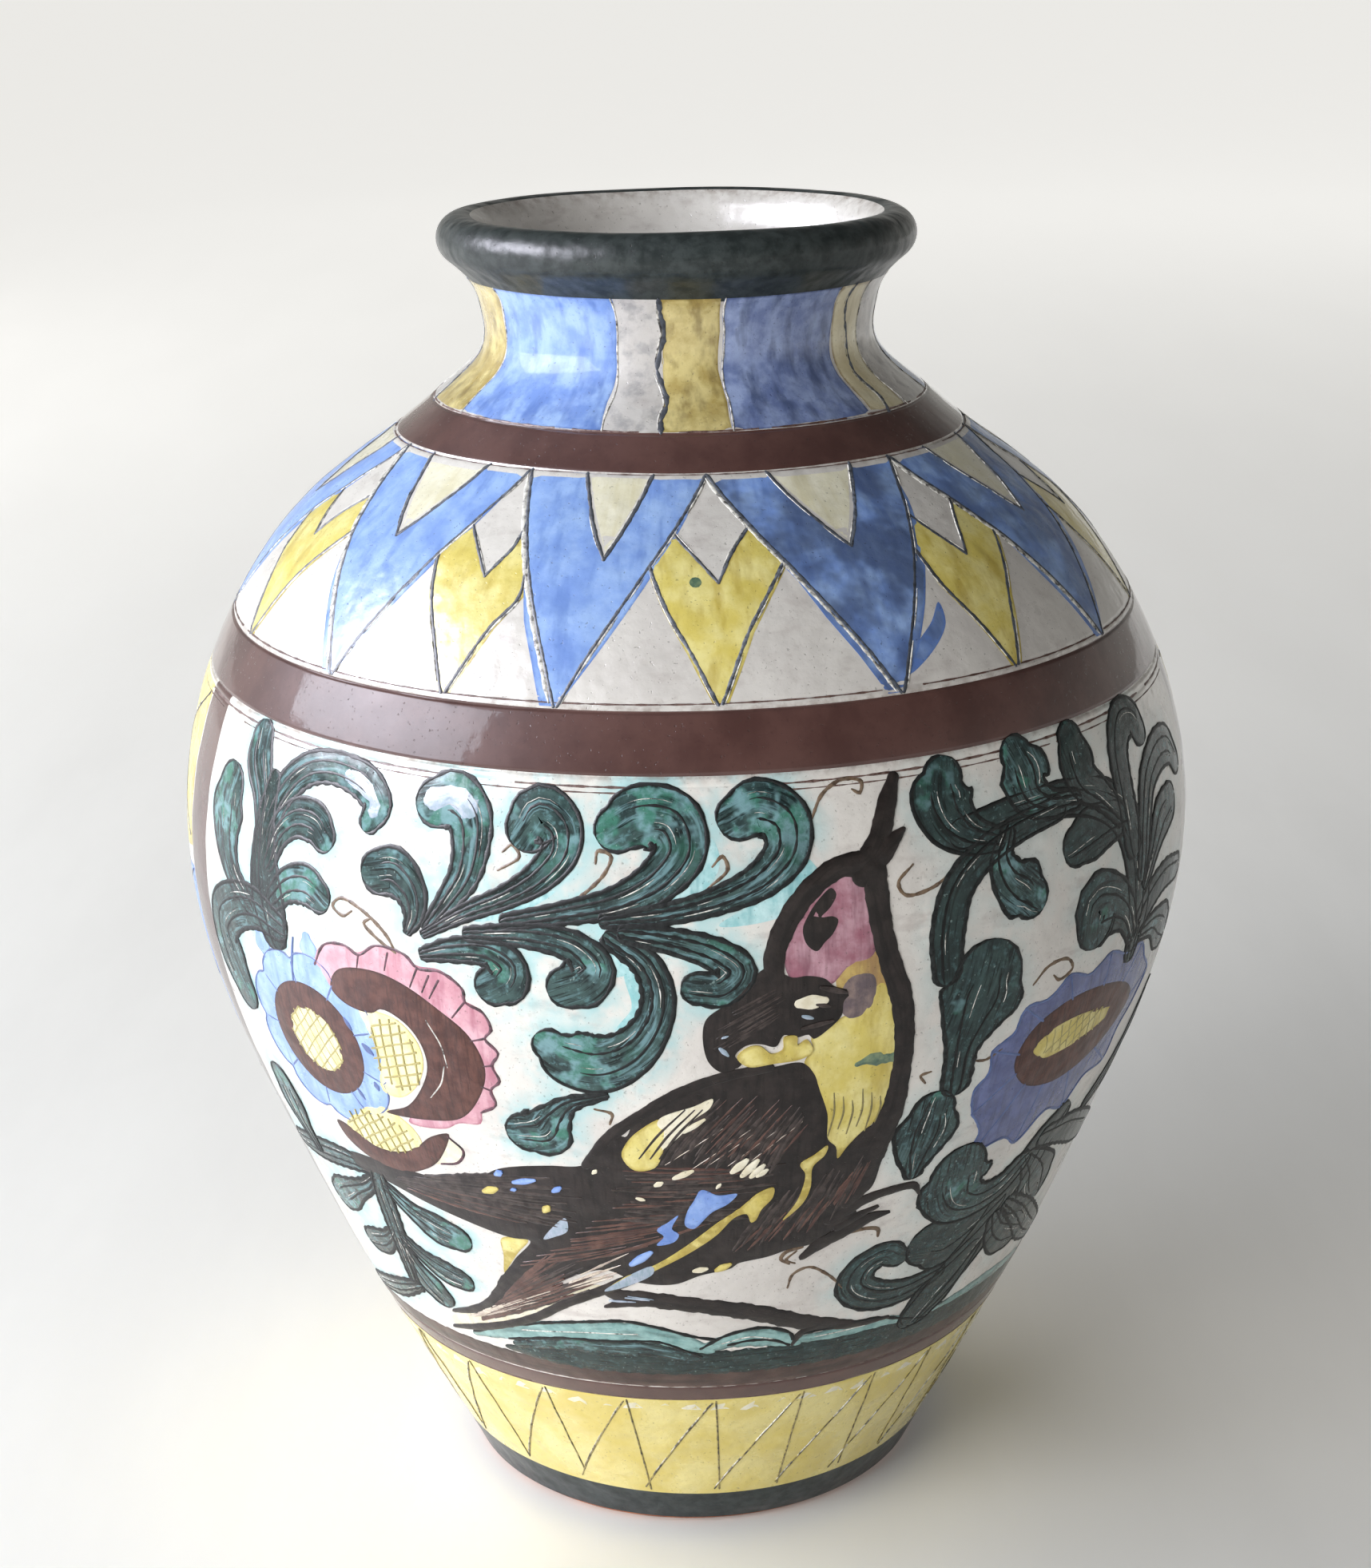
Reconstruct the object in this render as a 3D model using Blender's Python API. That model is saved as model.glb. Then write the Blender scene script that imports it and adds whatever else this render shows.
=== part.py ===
"""Glazed earthenware vase: the clay pieces it is built from, and the slip and glaze coats over them.

Metres, +Z up. The origin is the centre of the plane the foot rests on, +Z is the throwing axis, and
the middle of the main painted panel faces about -Y. Angles go round from -Y towards +X, in degrees.
"""

import math

import bmesh
import bpy
import mathutils
import numpy as np

# Driving dimensions
HEIGHT = 0.280
FOOT_RADIUS = 0.0513
BELLY_RADIUS = 0.1087
BELLY_HEIGHT = 0.152
THROAT_RADIUS = 0.0406
THROAT_HEIGHT = 0.256
LIP_OUTER_RADIUS = 0.0501
LIP_ROLL_RADIUS = 0.0050
WALL = 0.0070
COAT = 0.0006
GAP = 0.0003

# Underside and floor
FOOT_RING_INNER_RADIUS = 0.0400
FOOT_RING_TOP = 0.0065
FLOOR_TOP = 0.0120
FLOOR_CORNER = 0.0260
BARE_FOOT = 0.0015

# Heights where one painted zone ends and the next begins
FOOT_COLOUR_TOP = 0.0103
YELLOW_TOP = 0.0428
LOWER_BAND_TOP = 0.0472
PANEL_TOP = 0.1890
SHOULDER_BAND_TOP = 0.1998
SHOULDER_TOP = 0.2364
NECK_BAND_TOP = 0.2428
NECK_TOP = 0.2665
FLARE_TOP = 0.2700

# Heights where one course of the clay wall is joined to the next
LOWER_JOIN = 0.0880
BELLY_JOIN = 0.1500
SHOULDER_JOIN = 0.1998
NECK_JOIN = 0.2457
CLAY_COURSES = {
    "belly_wall": (LOWER_JOIN, BELLY_JOIN),
    "upper_wall": (BELLY_JOIN, SHOULDER_JOIN),
    "shoulder_wall": (SHOULDER_JOIN, NECK_JOIN),
    "neck_wall": (NECK_JOIN, NECK_TOP),
}

# Outer outline up to the underside of the lip, as (height, radius)
OUTLINE = (
    (0.0, FOOT_RADIUS),
    (FOOT_COLOUR_TOP, 0.0562),
    (YELLOW_TOP, 0.0724),
    (0.0980, 0.0959),
    (0.1290, 0.1058),
    (BELLY_HEIGHT, BELLY_RADIUS),
    (0.1760, 0.1056),
    (SHOULDER_BAND_TOP, 0.0962),
    (0.2130, 0.0874),
    (0.2260, 0.0741),
    (SHOULDER_TOP, 0.0598),
    (NECK_BAND_TOP, 0.0519),
    (0.2500, 0.0432),
    (THROAT_HEIGHT, THROAT_RADIUS),
    (0.2610, 0.0412),
    (NECK_TOP, 0.0432),
    (FLARE_TOP, 0.0466),
)

# Panels and the upright bands between them, as (first, last) angle round the vase
PANELS = {
    "panel_front": (-65.0, 77.0),
    "panel_right_strip": (84.0, 108.0),
    "panel_back": (115.0, 257.0),
    "panel_left_strip": (-96.0, -72.0),
}
UPRIGHT_BANDS = {
    "upright_band_front_left": (-72.0, -65.0),
    "upright_band_front_right": (77.0, 84.0),
    "upright_band_back_right": (108.0, 115.0),
    "upright_band_back_left": (-103.0, -96.0),
}

# Heights at which every turned surface has a row of corners, closest where it bends most
ROWS = tuple(
    float(z)
    for low, high, count in (
        (0.0, FOOT_RING_TOP, 1),
        (FOOT_RING_TOP, FLOOR_CORNER, 1),
        (FLOOR_CORNER, LOWER_JOIN, 2),
        (LOWER_JOIN, BELLY_JOIN, 2),
        (BELLY_JOIN, SHOULDER_JOIN, 3),
        (SHOULDER_JOIN, SHOULDER_TOP, 3),
        (SHOULDER_TOP, NECK_BAND_TOP, 1),
        (NECK_BAND_TOP, NECK_JOIN, 1),
        (NECK_JOIN, NECK_TOP, 4),
        (NECK_TOP, FLARE_TOP, 1),
    )
    for z in np.linspace(low, high, count, endpoint=False)
) + (FLARE_TOP,)

SEGMENTS = 32
PANEL_STEP = 7.2
CURVE_SAMPLES = 541
LIP_UNDERSIDE = -54.0
LIP_COLOUR_END = 114.0
LIP_INSIDE = 198.0
LIP_STEP = 36.0
MERGE = 0.000001
SMOOTH_BELOW = math.radians(35)


def spline(points):
    """A natural cubic spline through (x, y) points, as a function of x."""
    x, y = (np.array(v) for v in zip(*points))
    count = len(x)
    h = np.diff(x)
    system = np.eye(count)
    right = np.zeros(count)
    for i in range(1, count - 1):
        system[i, i - 1 : i + 2] = h[i - 1], 2 * (h[i - 1] + h[i]), h[i]
        right[i] = 6 * ((y[i + 1] - y[i]) / h[i] - (y[i] - y[i - 1]) / h[i - 1])
    bend = np.linalg.solve(system, right)

    def value(at):
        i = np.clip(np.searchsorted(x, at) - 1, 0, count - 2)
        a, b = x[i + 1] - at, at - x[i]
        cubic = (bend[i] * a**3 + bend[i + 1] * b**3) / (6 * h[i])
        left = (y[i] / h[i] - bend[i] * h[i] / 6) * a
        return cubic + left + (y[i + 1] / h[i] - bend[i + 1] * h[i] / 6) * b

    return value


SKIN_HEIGHTS = np.linspace(0.0, FLARE_TOP, CURVE_SAMPLES)
SKIN_RADII = spline(OUTLINE)(SKIN_HEIGHTS)
SKIN_SLOPES = np.gradient(SKIN_RADII, SKIN_HEIGHTS)


def under_skin(height, depth):
    """The (radius, height) that lies depth under the outer skin, square to it at a height."""
    radius = float(np.interp(height, SKIN_HEIGHTS, SKIN_RADII))
    slope = float(np.interp(height, SKIN_HEIGHTS, SKIN_SLOPES))
    length = math.hypot(1, slope)
    return radius - depth / length, height + depth * slope / length


def wall_line(depth, low, high):
    """The points of the surface at a depth under the skin, rising from low to high."""
    heights = [low] + [z for z in ROWS if low + GAP < z < high - GAP] + [high]
    return [under_skin(z, depth) for z in heights]


def lip_line(depth, first, last):
    """The points of the rolled lip at a depth under its skin, from its underside towards its inside."""
    rows = np.arange(LIP_UNDERSIDE, LIP_INSIDE + 1, LIP_STEP)
    angles = [first] + [a for a in rows if first + 2 < a < last - 2] + [last]
    reach = LIP_ROLL_RADIUS - depth
    centre = LIP_OUTER_RADIUS - LIP_ROLL_RADIUS, HEIGHT - LIP_ROLL_RADIUS
    return [
        (centre[0] + reach * math.cos(math.radians(a)), centre[1] + reach * math.sin(math.radians(a)))
        for a in angles
    ]


def corner_line(depth, floor, count):
    """The rounded corner between the floor, at its height, and the wall's inner surface at a depth."""
    wall = under_skin(FLOOR_CORNER, depth)
    above = under_skin(FLOOR_CORNER + 0.002, depth)
    lean = (above[0] - wall[0]) / (above[1] - wall[1])
    bend = wall[0] - lean * (wall[1] - floor), floor
    start = FOOT_RING_INNER_RADIUS, floor
    return [
        tuple((1 - t) ** 2 * a + 2 * t * (1 - t) * b + t * t * c for a, b, c in zip(start, bend, wall))
        for t in np.linspace(0.0, 1.0, count)
    ]


def material(name, colour, roughness):
    """A plain material of one colour."""
    made = bpy.data.materials.new(name)
    made.use_nodes = True
    shader = made.node_tree.nodes["Principled BSDF"]
    shader.inputs["Base Color"].default_value = (*colour, 1.0)
    shader.inputs["Roughness"].default_value = roughness
    shader.inputs["Metallic"].default_value = 0.0
    return made


def finish(shape, name, paint):
    """Turns a bmesh into a named object with outward faces, smooth except at its sharp edges."""
    bmesh.ops.remove_doubles(shape, verts=shape.verts, dist=MERGE)
    bmesh.ops.recalc_face_normals(shape, faces=shape.faces)
    mesh = bpy.data.meshes.new(name)
    shape.to_mesh(mesh)
    shape.free()
    mesh.materials.append(paint)
    mesh.shade_smooth()
    mesh.set_sharp_from_angle(angle=SMOOTH_BELOW)
    item = bpy.data.objects.new(name, mesh)
    bpy.context.scene.collection.objects.link(item)


def spun(shape, outline, angle, steps, whole):
    """Spins a closed outline of (radius, height) points about +Z, starting in the -Y half plane."""
    corners = [shape.verts.new((0.0, -radius, height)) for radius, height in outline]
    edges = [shape.edges.new((corners[i - 1], corners[i])) for i in range(len(corners))]
    swept = bmesh.ops.spin(
        shape,
        geom=corners + edges,
        cent=(0, 0, 0),
        axis=(0, 0, 1),
        angle=math.radians(angle),
        steps=steps,
        use_merge=whole,
    )
    last = [item for item in swept["geom_last"] if isinstance(item, bmesh.types.BMEdge)]
    return edges, last


def turned(name, outline, paint):
    """A solid of revolution."""
    shape = bmesh.new()
    spun(shape, outline, 360.0, SEGMENTS, True)
    finish(shape, name, paint)


def sector(name, outline, first, last, paint):
    """The part of a solid of revolution between two angles."""
    shape = bmesh.new()
    steps = math.ceil((last - first) / PANEL_STEP)
    for loop in spun(shape, outline, last - first, steps, False):
        bmesh.ops.contextual_create(shape, geom=loop)
    turn = mathutils.Matrix.Rotation(math.radians(first), 3, "Z")
    bmesh.ops.rotate(shape, verts=shape.verts, cent=(0, 0, 0), matrix=turn)
    finish(shape, name, paint)


def coat_outline(low, high):
    """The closed outline of one coat of slip or glaze, clear of the coats above and below it."""
    bottom, top = low + GAP / 2, high - GAP / 2
    return wall_line(COAT, bottom, top) + wall_line(0.0, bottom, top)[::-1]


def coat(name, low, high, paint):
    """One coat that goes right round."""
    turned(name, coat_outline(low, high), paint)


def panel_coats(table, paint):
    """Coats that each cover a sector of the body between the lower band and the shoulder band."""
    margin = math.degrees(GAP / 2 / FOOT_RADIUS)
    for name, (first, last) in table.items():
        sector(name, coat_outline(LOWER_BAND_TOP, PANEL_TOP), first + margin, last - margin, paint)


def clay_course(name, low, high, paint):
    """One course of the clay wall."""
    bottom, top = low + GAP / 2, high - GAP / 2
    inside = wall_line(WALL - COAT - GAP, bottom, top)
    turned(name, inside + wall_line(COAT + GAP, bottom, top)[::-1], paint)


def foot_ring(paint):
    """The turned ring that the vase stands on, left bare."""
    top = FOOT_RING_TOP - GAP / 2
    outside = wall_line(COAT + GAP, 0.0, top)
    outside[0] = FOOT_RADIUS - COAT - GAP, 0.0
    inside = [(FOOT_RING_INNER_RADIUS, 0.0), (FOOT_RING_INNER_RADIUS, outside[-1][1])]
    turned("foot_ring", inside + outside[::-1], paint)


def floor_slab(paint):
    """The round slab of clay that closes the bottom, on top of the foot ring."""
    bottom = under_skin(FOOT_RING_TOP + GAP / 2, COAT + GAP)
    top = under_skin(FLOOR_TOP - COAT - 2 * GAP, COAT + GAP)
    turned("floor_slab", [(0.0, bottom[1]), (0.0, top[1]), top, bottom], paint)


def lower_wall(paint):
    """The lowest course of the wall, up from the slab, with the floor's rounded corner."""
    top = LOWER_JOIN - GAP / 2
    floor = FLOOR_TOP - COAT - GAP
    inside = corner_line(WALL - COAT - GAP, floor, 4)[1:-1]
    inside += wall_line(WALL - COAT - GAP, FLOOR_CORNER, top)
    outside = wall_line(COAT + GAP, floor, top)
    outside[0] = outside[0][0], inside[0][1]
    turned("lower_wall", inside + outside[::-1], paint)


def rim_roll(paint):
    """The rolled lip, a coil turned over on top of the neck."""
    bottom = NECK_TOP + GAP / 2
    inside = wall_line(WALL - COAT - GAP, bottom, bottom)[:1]
    lip = lip_line(COAT + GAP, LIP_UNDERSIDE, LIP_INSIDE)
    turned("rim_roll", inside + lip[::-1] + wall_line(COAT + GAP, bottom, FLARE_TOP)[::-1], paint)


def rim_colour(paint):
    """The dark glaze over the flare and the lip, ending just inside the mouth."""
    bottom = NECK_TOP + GAP / 2
    face = wall_line(0.0, bottom, FLARE_TOP) + lip_line(0.0, LIP_UNDERSIDE, LIP_COLOUR_END)
    back = wall_line(COAT, bottom, FLARE_TOP) + lip_line(COAT, LIP_UNDERSIDE, LIP_COLOUR_END)
    turned("rim_colour", back + face[::-1], paint)


def inner_glaze(paint):
    """The glaze inside: over the floor, up the wall and out to the top of the lip."""
    start = LIP_COLOUR_END + math.degrees(GAP / LIP_ROLL_RADIUS)
    face, back = (
        [(0.0, floor)]
        + corner_line(depth, floor, 4)[:-1]
        + wall_line(depth, FLOOR_CORNER, NECK_TOP)
        + lip_line(lip_depth, start, LIP_INSIDE)[::-1]
        for depth, lip_depth, floor in ((WALL, 0.0, FLOOR_TOP), (WALL - COAT, COAT, FLOOR_TOP - COAT))
    )
    turned("inner_glaze", face + back[::-1], paint)


def build():
    for old in list(bpy.data.objects):
        bpy.data.objects.remove(old)

    bare_clay = material("bare_clay", (0.55, 0.30, 0.18), 0.85)
    white = material("white_glaze", (0.80, 0.79, 0.74), 0.22)
    inner = material("inner_glaze", (0.62, 0.60, 0.56), 0.25)
    green = material("dark_green_glaze", (0.03, 0.06, 0.06), 0.25)
    brown = material("brown_slip", (0.10, 0.035, 0.03), 0.25)
    yellow = material("yellow_glaze", (0.76, 0.60, 0.18), 0.25)

    foot_ring(bare_clay)
    floor_slab(bare_clay)
    lower_wall(bare_clay)
    for name, (low, high) in CLAY_COURSES.items():
        clay_course(name, low, high, bare_clay)
    rim_roll(bare_clay)

    coat("foot_colour", BARE_FOOT, FOOT_COLOUR_TOP, green)
    coat("yellow_zone", FOOT_COLOUR_TOP, YELLOW_TOP, yellow)
    coat("lower_band", YELLOW_TOP, LOWER_BAND_TOP, brown)
    panel_coats(PANELS, white)
    panel_coats(UPRIGHT_BANDS, brown)
    coat("shoulder_band", PANEL_TOP, SHOULDER_BAND_TOP, brown)
    coat("shoulder_zone", SHOULDER_BAND_TOP, SHOULDER_TOP, white)
    coat("neck_band", SHOULDER_TOP, NECK_BAND_TOP, brown)
    coat("neck_zone", NECK_BAND_TOP, NECK_TOP, white)
    rim_colour(green)
    inner_glaze(inner)


build()
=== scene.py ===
"""The looks of the painted vase: fine zone surfaces, brush strokes in low relief, glazes, light and camera.

Everything on the vase is placed by (angle, height along the skin): the angle goes round from -Y towards
+X in degrees, and the height is the length of the outer outline from the foot, in millimetres.
"""
import math
import random

import bmesh
import bpy
import numpy as np
from mathutils import Matrix, Vector, kdtree
from mathutils.geometry import delaunay_2d_cdt


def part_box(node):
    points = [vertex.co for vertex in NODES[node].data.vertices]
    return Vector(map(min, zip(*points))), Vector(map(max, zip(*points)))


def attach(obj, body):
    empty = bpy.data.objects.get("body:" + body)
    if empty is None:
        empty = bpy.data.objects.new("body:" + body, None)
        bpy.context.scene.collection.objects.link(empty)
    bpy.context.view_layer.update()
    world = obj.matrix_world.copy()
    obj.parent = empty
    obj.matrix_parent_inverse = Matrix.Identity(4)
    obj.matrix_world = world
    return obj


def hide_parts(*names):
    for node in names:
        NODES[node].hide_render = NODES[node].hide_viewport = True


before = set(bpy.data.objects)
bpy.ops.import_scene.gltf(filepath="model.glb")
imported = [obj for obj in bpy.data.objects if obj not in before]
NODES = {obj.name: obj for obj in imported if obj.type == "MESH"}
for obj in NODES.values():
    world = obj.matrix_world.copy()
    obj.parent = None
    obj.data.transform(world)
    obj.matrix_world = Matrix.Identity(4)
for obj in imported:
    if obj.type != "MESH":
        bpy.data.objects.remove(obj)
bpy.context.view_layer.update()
MM = 0.001

# ---------------------------------------------------------------- the vase's outline, from the frame
WALL = 7.0 * MM
COAT = 0.6 * MM
LIP_ROLL = 5.0 * MM
LIP_ARC = (-54.0, 198.0)  # degrees of the lip's roll, from its outer side over the top
FOOT_SLOPE = 0.477  # how fast the radius grows with z at the foot
INNER_CORNER = 26.0 * MM
FLAT_FLOOR = 40.0 * MM
SKIN_STEP = 0.25 * MM
OUTSIDE = (
    "foot_colour", "yellow_zone", "lower_band", "panel_front", "shoulder_band",
    "shoulder_zone", "neck_band", "neck_zone", "rim_colour",
)


def zone(node):
    """The lowest and highest z of a CAD node."""
    low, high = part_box(node)
    return low.z, high.z


def outline_points():
    """The outer outline's (z, radius) points, read from the corners of the coats."""
    found = {}
    for name in OUTSIDE:
        corners = [v.co for v in NODES[name].data.vertices]
        points = {(round(c.z, 5), round(math.hypot(c.x, c.y), 5)) for c in corners}
        for z, r in points:
            inner = any(abs(math.hypot(z - a, r - b) - COAT) < 0.00003 and b > r for a, b in points)
            if not inner and z < LIP_START[0]:
                found[z] = max(r, found.get(z, 0.0))
    heights = sorted(found)
    kept = [z for i, z in enumerate(heights) if i == 0 or z - heights[i - 1] > 0.001]
    return [(z, found[z]) for z in kept]


RIM_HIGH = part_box("rim_colour")[1]
LIP_CENTRE = (RIM_HIGH.x - LIP_ROLL, RIM_HIGH.z - LIP_ROLL)
LIP_START = (
    LIP_CENTRE[1] + LIP_ROLL * math.sin(math.radians(LIP_ARC[0])),
    LIP_CENTRE[0] + LIP_ROLL * math.cos(math.radians(LIP_ARC[0])),
)


def spline(points):
    """A natural cubic spline through (x, y) points, as a function of x."""
    x, y = (np.array(v, float) for v in zip(*points))
    n, h = len(x), np.diff(x)
    system, right = np.eye(n), np.zeros(n)
    for i in range(1, n - 1):
        system[i, i - 1 : i + 2] = h[i - 1], 2 * (h[i - 1] + h[i]), h[i]
        right[i] = 6 * ((y[i + 1] - y[i]) / h[i] - (y[i] - y[i - 1]) / h[i - 1])
    bend = np.linalg.solve(system, right)

    def value(at):
        i = np.clip(np.searchsorted(x, at) - 1, 0, n - 2)
        a, b = x[i + 1] - at, at - x[i]
        cubic = (bend[i] * a**3 + bend[i + 1] * b**3) / (6 * h[i])
        low, high = y[i] / h[i] - bend[i] * h[i] / 6, y[i + 1] / h[i] - bend[i + 1] * h[i] / 6
        return cubic + low * a + high * b

    return value


# the rings cut beside the bands: their heights along the skin and their depths, in mm
RINGS = {
    47.9: 0.22, 52.7: 0.16, 199.7: 0.16, 201.4: 0.28, 213.3: 0.28, 214.9: 0.12, 265.4: 0.25, 275.5: 0.25,
}
RING_WIDTH = 0.32
BODY_END, LIP_BEGIN, LIP_END = 303, 300, 336  # mm along the skin
FADE = 12


def relief(angle, height):
    """How far in mm the surface stands off the ideal outline: slow waves, turning marks and cut rings."""
    a, s = np.radians(np.asarray(angle, float)), np.asarray(height, float)
    waves = 0.16 * np.sin(2 * a + s / 31) + 0.11 * np.sin(3 * a - s / 17 + 1) + 0.07 * np.sin(5 * a + s / 9)
    turning = 0.05 * np.sin(s / 1.9 + 0.8 * np.sin(a)) * np.sin(s / 23) ** 2
    off = (waves + turning) * np.clip(s / 6, 0, 1) * np.clip((BODY_END - s) / FADE, 0, 1)
    lip = 0.10 * np.sin(3 * a + 0.5) + 0.06 * np.sin(7 * a)
    off = off + lip * np.clip((s - LIP_BEGIN) / FADE, 0, 1) * np.clip((LIP_END - s) / 10, 0, 1)
    for ring, depth in RINGS.items():
        at = ring + 0.12 * np.sin(3 * a + ring) + 0.05 * np.sin(17 * a + ring)
        off = off - depth * np.exp(-(((s - at) / RING_WIDTH) ** 2))
    return off


class Skin:
    """The vase's surface as a line in (radius, z), from the foot over the lip to the inner floor."""

    def __init__(self):
        points = outline_points()
        outer = spline([(0.0, points[0][1] - FOOT_SLOPE * points[0][0])] + points)
        z = np.linspace(0.0, points[-1][0], 1400)
        line = list(zip(outer(z), z))
        for a in np.radians(np.linspace(*LIP_ARC, 90)):
            line.append((LIP_CENTRE[0] + LIP_ROLL * math.cos(a), LIP_CENTRE[1] + LIP_ROLL * math.sin(a)))
        slope = np.gradient(outer(z), z)
        reach = np.hypot(1, slope)
        inner = list(zip(outer(z) - WALL / reach, z + WALL * slope / reach))
        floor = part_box("inner_glaze")[0].z + COAT
        down = [p for p, height in zip(inner, z) if INNER_CORNER < height < zone("neck_zone")[1]][::-1]
        foot = down[-1]
        lean = (down[-40][0] - foot[0]) / (down[-40][1] - foot[1])
        bend = (foot[0] - lean * (foot[1] - floor), floor)
        flat = (FLAT_FLOOR, floor)
        sweep = [
            [(1 - t) ** 2 * a + 2 * t * (1 - t) * b + t * t * c for a, b, c in zip(foot, bend, flat)]
            for t in np.linspace(0.02, 1, 40)
        ]
        line += down + sweep + [(r, floor) for r in np.linspace(0.95 * FLAT_FLOOR, 0.0, 20)]
        line = np.array(line)
        line = line[np.concatenate([[True], np.hypot(*np.diff(line, axis=0).T) > 1e-7])]
        s = np.concatenate([[0], np.cumsum(np.hypot(*np.diff(line, axis=0).T))])
        self.s = np.arange(0, s[-1], SKIN_STEP)
        r, z = (np.interp(self.s, s, line[:, k]) for k in (0, 1))
        ease = np.hanning(13) / np.hanning(13).sum()
        pad = [np.concatenate([v[0] + (v[1] - v[0]) * np.arange(-6, 0), v, np.full(6, v[-1])])
            for v in (r, z)]
        self.r, self.z = (np.convolve(v, ease, "valid") for v in pad)
        dr, dz = np.gradient(self.r), np.gradient(self.z)
        size = np.hypot(dr, dz)
        self.nr, self.nz = dz / size, -dr / size

    def at(self, angle, height, lift=0.0):
        """World points at angles in degrees and heights along the skin in mm, lifted off it by some mm."""
        s, a = np.asarray(height, float) * MM, np.radians(np.asarray(angle, float))
        r, z, nr, nz = (np.interp(s, self.s, v) for v in (self.r, self.z, self.nr, self.nz))
        lift = (np.asarray(lift) + relief(angle, height)) * MM
        r, z = r + lift * nr, z + lift * nz
        return np.stack(np.broadcast_arrays(r * np.sin(a), -r * np.cos(a), z), -1)

    def radius(self, height):
        """The radius in mm at a height along the skin."""
        return np.interp(np.asarray(height, float) * MM, self.s, self.r) / MM

    def height(self, z):
        """The height along the skin in mm of a level z on its outside."""
        top = int(self.z.argmax())
        return float(np.interp(z, self.z[: top + 1], self.s[: top + 1])) / MM


SKIN = Skin()


# ---------------------------------------------------------------- brush marks
rng = random.Random(7)
# where the rows of a wide and of a thin stroke run, as shares of its half width
FULL = (-1.0, -0.92, -0.65, -0.33, 0.0, 0.33, 0.65, 0.92, 1.0)
THIN = (-1.0, -0.6, 0.0, 0.6, 1.0)
UNDER = -0.06  # the back of every mark, in mm off the skin
EDGE_DIP = 0.03  # how much lower a mark's very edge lies, in mm
ROW_SHARE = 0.87  # the height of an equal-sided triangle


def degree_mm(height):
    """The length in mm of one degree round the vase at a height along the skin."""
    return SKIN.radius(height) * math.pi / 180


def smooth(points, step=1.0, closed=False):
    """A soft curve through rows of (angle, height, ...), with a row about every step mm."""
    p = np.array(points, float)
    if closed:
        p = np.concatenate([p[-2:], p, p[:3]])
    flat = p[:, :2] * np.stack([degree_mm(p[:, 1]), np.ones(len(p))], 1)
    gaps = np.hypot(*np.diff(flat, axis=0).T)
    t = np.concatenate([[0], np.cumsum(np.sqrt(np.maximum(gaps, 0.01)))])
    slope = np.diff(p, axis=0) / np.diff(t)[:, None]
    bend = np.concatenate([slope[:1], np.zeros((len(p) - 2, p.shape[1])), slope[-1:]])
    before, after = np.diff(t)[:-1, None], np.diff(t)[1:, None]
    bend[1:-1] = (slope[:-1] * after + slope[1:] * before) / (before + after)
    rows = []
    for i in range(2, len(p) - 3) if closed else range(len(p) - 1):
        u = np.linspace(0, 1, max(2, int(gaps[i] / step) + 1), endpoint=False)[:, None]
        h = t[i + 1] - t[i]
        rows.append(
            (2 * u**3 - 3 * u**2 + 1) * p[i] + (u**3 - 2 * u**2 + u) * h * bend[i]
            + (3 * u**2 - 2 * u**3) * p[i + 1] + (u**3 - u**2) * h * bend[i + 1]
        )
    if not closed:
        rows.append(p[-1:])
    return np.concatenate(rows)


def square_to(line):
    """For each row of a line: the mm per degree there, and the unit vector square to the line."""
    k = degree_mm(line[:, 1])
    dx, dy = np.gradient(line[:, 0]) * k, np.gradient(line[:, 1])
    size = np.maximum(np.hypot(dx, dy), 1e-9)
    return k, -dy / size, dx / size


def beside(line, across):
    """The line moved sideways by a share of its own half width."""
    k, nx, ny = square_to(line)
    moved = line.copy()
    moved[:, 0] += nx * across * line[:, 2] / k
    moved[:, 1] += ny * across * line[:, 2]
    return moved


def capped(line):
    """The line with round ends as wide as it is."""
    k, nx, ny = square_to(line)
    ends = []
    for i, way in ((0, -1), (-1, 1)):
        w = line[i, 2]
        turn = np.radians([12, 30, 50, 70, 86]) if w > 0.6 else np.radians([45, 85])
        reach = w * np.sin(turn) * way
        cap = np.stack([line[i, 0] + ny[i] * reach / k[i], line[i, 1] - nx[i] * reach, w * np.cos(turn)], 1)
        ends.append(cap if way > 0 else cap[::-1])
    return np.concatenate([ends[0], line, ends[1]])


def wobbly(line, amount, rate=1.2):
    """The line with its half width unsteady, as a brush or a scratching point leaves it."""
    out = line.copy()
    phase = rng.uniform(0, 99)
    i = np.arange(len(line)) * rate + phase
    out[:, 2] *= 1 + amount * (0.6 * np.sin(i) + 0.4 * np.sin(2.3 * i + phase))
    return out


def tapered(line, least, rows):
    """The line narrowed at both ends, to a least share of its width and over a few rows."""
    out = line.copy()
    i = np.arange(len(out))
    out[:, 2] *= np.clip(least + np.minimum(i, i[::-1]) / rows, 0, 1)
    return out


def mesh_of(name, points, faces, **data):
    """A mesh, with one value of each kind of data stored at every point."""
    mesh = bpy.data.meshes.new(name)
    mesh.from_pydata(points.tolist(), [], faces)
    for key, values in data.items():
        mesh.attributes.new(key, "FLOAT", "POINT").data.foreach_set("value", values)
    return mesh


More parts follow.
